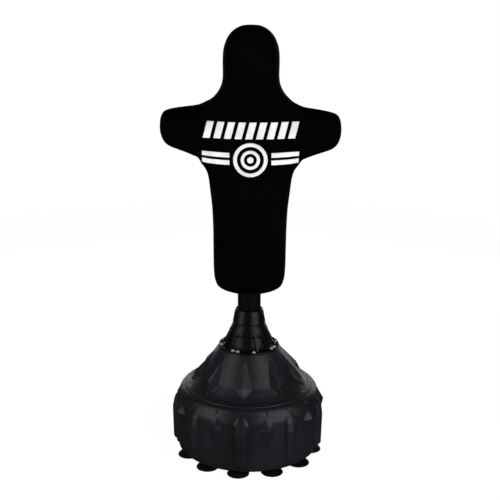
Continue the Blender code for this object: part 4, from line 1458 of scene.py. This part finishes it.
# The slider is two rounded plates joined by a neck; the outer plate widens towards the top by
# 1 + 0.12 * (z - middle) / half, and two lugs hold the bar of the pull.
def sliderPatches(low, high, pin):
    base, top = low[1], low[1] + 0.0040
    middle, half = (low[2] + high[2]) / 2, (high[2] - low[2]) / 2
    plate = roundedBox((low[0] + 0.0008, base + 0.0018, low[2]), (high[0] - 0.0008, top, high[2]), 0.0011, 3)
    plate["verts"][:, 0] *= 1 + 0.12 * (plate["verts"][:, 2] - middle) / half
    underLow = (low[0] + 0.0004, base, low[2] + 0.0004)
    underHigh = (high[0] - 0.0004, base + 0.0012, high[2] - 0.0004)
    neck = roundedBox((-0.0024, base + 0.0004, middle), (0.0024, top - 0.0004, high[2] - 0.001), 0.0008, 2)
    patches = [plate, roundedBox(underLow, underHigh, 0.0005, 2), neck]
    pinY, pinZ = pin
    for side in (-1.0, 1.0):
        near, far = sorted((side * 0.0051, side * 0.0060))
        lugLow, lugHigh = (near, top - 0.001, pinZ - 0.0020), (far, pinY + 0.0016, pinZ + 0.0020)
        patches.append(roundedBox(lugLow, lugHigh, 0.0004, 2))
    a = np.arange(20) * 2 * math.pi / 20
    x = np.array([0.0054, -0.0054])[:, None]
    bar = np.stack([x + 0 * a, pinY + 0.0011 * np.cos(a) + 0 * x, pinZ + 0.0011 * np.sin(a) + 0 * x], -1)
    patches.append(gridPatch(bar, True, True, True))
    return patches


sliderShape = sliderPatches(*sliderBox, zipSize["pin"])
makePiece("zipSlider", sliderShape, zipMetal, "zip_slider", 40.0, ["zip_slider"])


# The pull is a flat tab that widens towards its end, with raised grip bars across it and an eye
# turned round the bar. Low is its lowest corner.
def pullPatches(low, size):
    pinY, pinZ = size["pin"]
    tab = roundedBox((-0.0042, pinY - 0.0008, low[2]), (0.0042, pinY + 0.0008, pinZ - 0.0022), 0.0007, 3)
    share = (pinZ - tab["verts"][:, 2]) / (pinZ - low[2])
    tab["verts"][:, 0] *= 0.80 + 0.25 * share
    patches = [tab]
    for k in range(size["grips"]):
        level = low[2] + 0.004 + size["gripPitch"] * k
        gripLow, gripHigh = (-0.0032, pinY - 0.0012, level), (0.0032, pinY + 0.0012, level + 0.0012)
        patches.append(roundedBox(gripLow, gripHigh, 0.0004, 2))
    a = np.arange(40) * 2 * math.pi / 40
    section = [(-0.0044, 0.0017), (-0.0044, 0.0025), (-0.0041, 0.0027), (0.0041, 0.0027)]
    section = np.array(section + [(0.0044, 0.0025), (0.0044, 0.0017), (-0.0044, 0.0017)])
    x, r = section[:, :1] + 0 * a, section[:, 1:]
    eye = np.stack([x, pinY + r * np.cos(a), pinZ + r * np.sin(a)], -1)
    patches.append(gridPatch(eye[::-1], True))
    return patches


pullShape = pullPatches(pullBox[0], zipSize)
makePiece("zipPull", pullShape, zipMetal, "zip_pull", 40.0, ["zip_pull"])
print("zip made with", 2 * len(toothHeights), "teeth")

# ---- chest print: plain bars over a ring target, laid on the cloth ----

printSize = {
    "bars": {"count": 9, "low": 1.292, "high": 1.354, "half": 0.178, "lean": 0.016, "filled": 0.66},
    "target": {"height": 1.214, "rings": [(0.0, 0.012), (0.024, 0.036), (0.050, 0.064)]},
    "lines": [(0.078, 0.182, 1.222, 1.240), (0.078, 0.182, 1.194, 1.212)],
    "spacing": 0.0040,
    "proud": 0.0004,
    "thickness": 0.0003,
}


# A flat piece of print is a grid between two edges; it is then projected on the chest.
def printPatches(size):
    flat = []

    def block(left, right, low, high, lean):
        cols = max(2, round(abs(right - left) / size["spacing"]) + 1)
        rows = max(2, round((high - low) / size["spacing"]) + 1)
        z = np.linspace(high, low, rows)[:, None] + np.zeros(cols)
        x = np.linspace(left, right, cols)[None] + lean * (z - low) / (high - low)
        flat.append((np.stack([x, 0 * x - 0.2, z], -1), False))

    bars = size["bars"]
    room = 2 * bars["half"] / bars["count"]
    for k in range(bars["count"]):
        left = -bars["half"] + k * room
        block(left, left + room * bars["filled"], bars["low"], bars["high"], bars["lean"])
    for side in (-1, 1):
        for near, far, low, high in size["lines"]:
            left, right = sorted((side * near, side * far))
            block(left, right, low, high, 0.0)
    for inner, outer in size["target"]["rings"]:
        steps = 24 + int(outer / size["spacing"] * 6)
        a = np.arange(steps) * 2 * math.pi / steps
        rows = max(2, round((outer - inner) / size["spacing"]) + 1)
        r = np.linspace(outer, max(inner, 0.0012), rows)[:, None]
        x, z = r * np.sin(a), size["target"]["height"] + r * np.cos(a)
        flat.append((np.stack([x, 0 * x - 0.2, z], -1), True))
    patches = []
    for points, closed in flat:
        middle = closed and np.ptp(points[-1, :, 0]) < 0.004  # the target's middle disc is closed
        patches.append(gridPatch(ontoFigure(points, size["proud"], True), closed, False, middle))
    return patches


chestPrint = makePiece("chestPrint", printPatches(printSize), printInk, "mannequin", 60.0)
thick = chestPrint.modifiers.new("thickness", "SOLIDIFY")
thick.thickness = printSize["thickness"]
thick.offset = 0.0
print("print laid on the chest")

# ---- frame nodes that stay, with their finishes ----

carriedFinishes = {
    "lower_spring_seat": steel,
    "upper_spring_seat": steel,
    "neck_spring": springSteel,
    "seat_bolt_1": steel,
    "seat_bolt_2": steel,
    "seat_bolt_3": steel,
    "seat_bolt_4": steel,
    "pole_bushing_lower": bushingPlastic,
    "pole_bushing_upper": bushingPlastic,
    "pole_top_plug": bushingPlastic,
}
for node, finish in carriedFinishes.items():
    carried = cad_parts[node]
    if not carried.material_slots:
        carried.data.materials.append(finish)
    for slot in carried.material_slots:
        slot.material = finish
print("carried nodes finished:", len(carriedFinishes))

# ---- floor, light and camera ----

studio = {
    "floorSize": 90.0,
    "floorGlow": (0.93, 1.0),  # near the object and far from it
    "glowFrom": 1.6,
    "glowTo": 6.0,
    "floorTone": (0.24, 0.24, 0.241),
    "background": 1.0,
    "reflected": 0.03,
    "lights": {  # azimuth from the front, distance, height of the middle, width, height, watts
        "leftSoftbox": (-60.0, 2.8, 1.75, 2.0, 3.7, 45.0),
        "rightSoftbox": (45.0, 2.8, 1.75, 2.4, 3.7, 66.0),
        "backLeftSoftbox": (-158.0, 3.2, 1.10, 1.6, 2.2, 15.0),
        "backRightSoftbox": (152.0, 3.2, 1.10, 1.6, 2.2, 15.0),
    },
}


def makeFloor(size):
    half = size["floorSize"] / 2
    line = np.linspace(-half, half, 9)
    x, y = np.meshgrid(line, -line)
    patch = gridPatch(np.stack([x, y, 0 * x], -1), False)
    mesh = bpy.data.meshes.new("floor")
    mesh.from_pydata(patch["verts"].tolist(), [], patch["quads"].tolist())
    floor = bpy.data.objects.new("floor", mesh)
    bpy.context.scene.collection.objects.link(floor)
    material, tree, shader, place = startMaterial("floorPaper", {})
    darker = tuple(c * 0.985 for c in size["floorTone"])
    tone = blendColours(tree, noise(tree, place, 3.0, 3.0), size["floorTone"], darker)
    tree.links.new(tone, shader.inputs["Base Color"])
    shader.inputs["Roughness"].default_value = 0.9
    shader.inputs["Specular IOR Level"].default_value = 0.0
    shader.inputs["Emission Color"].default_value = (1.0, 1.0, 1.0, 1.0)
    away = addNode(tree, "VectorMath", {"operation": "LENGTH"}, n0=place).outputs["Value"]
    glow = ranged(tree, away, size["glowFrom"], size["glowTo"], *size["floorGlow"])
    tree.links.new(glow, shader.inputs["Emission Strength"])
    mesh.materials.append(material)
    floor.visible_glossy = False
    floor.visible_shadow = False
    return floor


def makeLights(size):
    for name, (azimuth, distance, height, width, tall, power) in size["lights"].items():
        light = bpy.data.lights.new(name, "AREA")
        light.shape = "RECTANGLE"
        light.size, light.size_y, light.energy = width, tall, power
        lamp = bpy.data.objects.new(name, light)
        bpy.context.scene.collection.objects.link(lamp)
        lamp.location = onRing(distance, azimuth, height)
        towards = Vector((0.0, 0.0, height)) - lamp.location
        lamp.rotation_mode = "QUATERNION"
        lamp.rotation_quaternion = towards.to_track_quat("-Z", "Y")
        lamp.visible_camera = False


# The world shows a white backdrop and is dim to every other ray.
def makeWorld(size):
    world = bpy.data.worlds.new("studioWorld")
    world.use_nodes = True
    tree = world.node_tree
    backdrop = tree.nodes["Background"]
    backdrop.inputs["Color"].default_value = (1.0, 1.0, 1.0, 1.0)
    rays = addNode(tree, "LightPath").outputs
    seen = maths(tree, "MULTIPLY", rays["Is Camera Ray"], size["background"])
    tree.links.new(maths(tree, "ADD", seen, size["reflected"]), backdrop.inputs["Strength"])
    bpy.context.scene.world = world


cameraSize = {
    "distance": 3.896,
    "sideways": 0.0014,
    "height": 1.974,
    "pitch": 16.3,
    "roll": 0.47,
    "lens": 74.74,
}


def makeCamera(size):
    camera = bpy.data.cameras.new("camera")
    camera.lens = size["lens"]
    camera.sensor_width = 36.0
    camera.dof.use_dof = False
    view = bpy.data.objects.new("camera", camera)
    bpy.context.scene.collection.objects.link(view)
    turn = Matrix.Rotation(math.radians(90.0 - size["pitch"]), 4, "X")
    roll = Matrix.Rotation(math.radians(size["roll"]), 4, "Z")
    place = Matrix.Translation((size["sideways"], -size["distance"], size["height"]))
    view.matrix_world = place @ turn @ roll
    bpy.context.scene.camera = view


makeFloor(studio)
makeLights(studio)
makeWorld(studio)
makeCamera(cameraSize)
bpy.context.scene.view_settings.view_transform = "Standard"
print("studio ready")
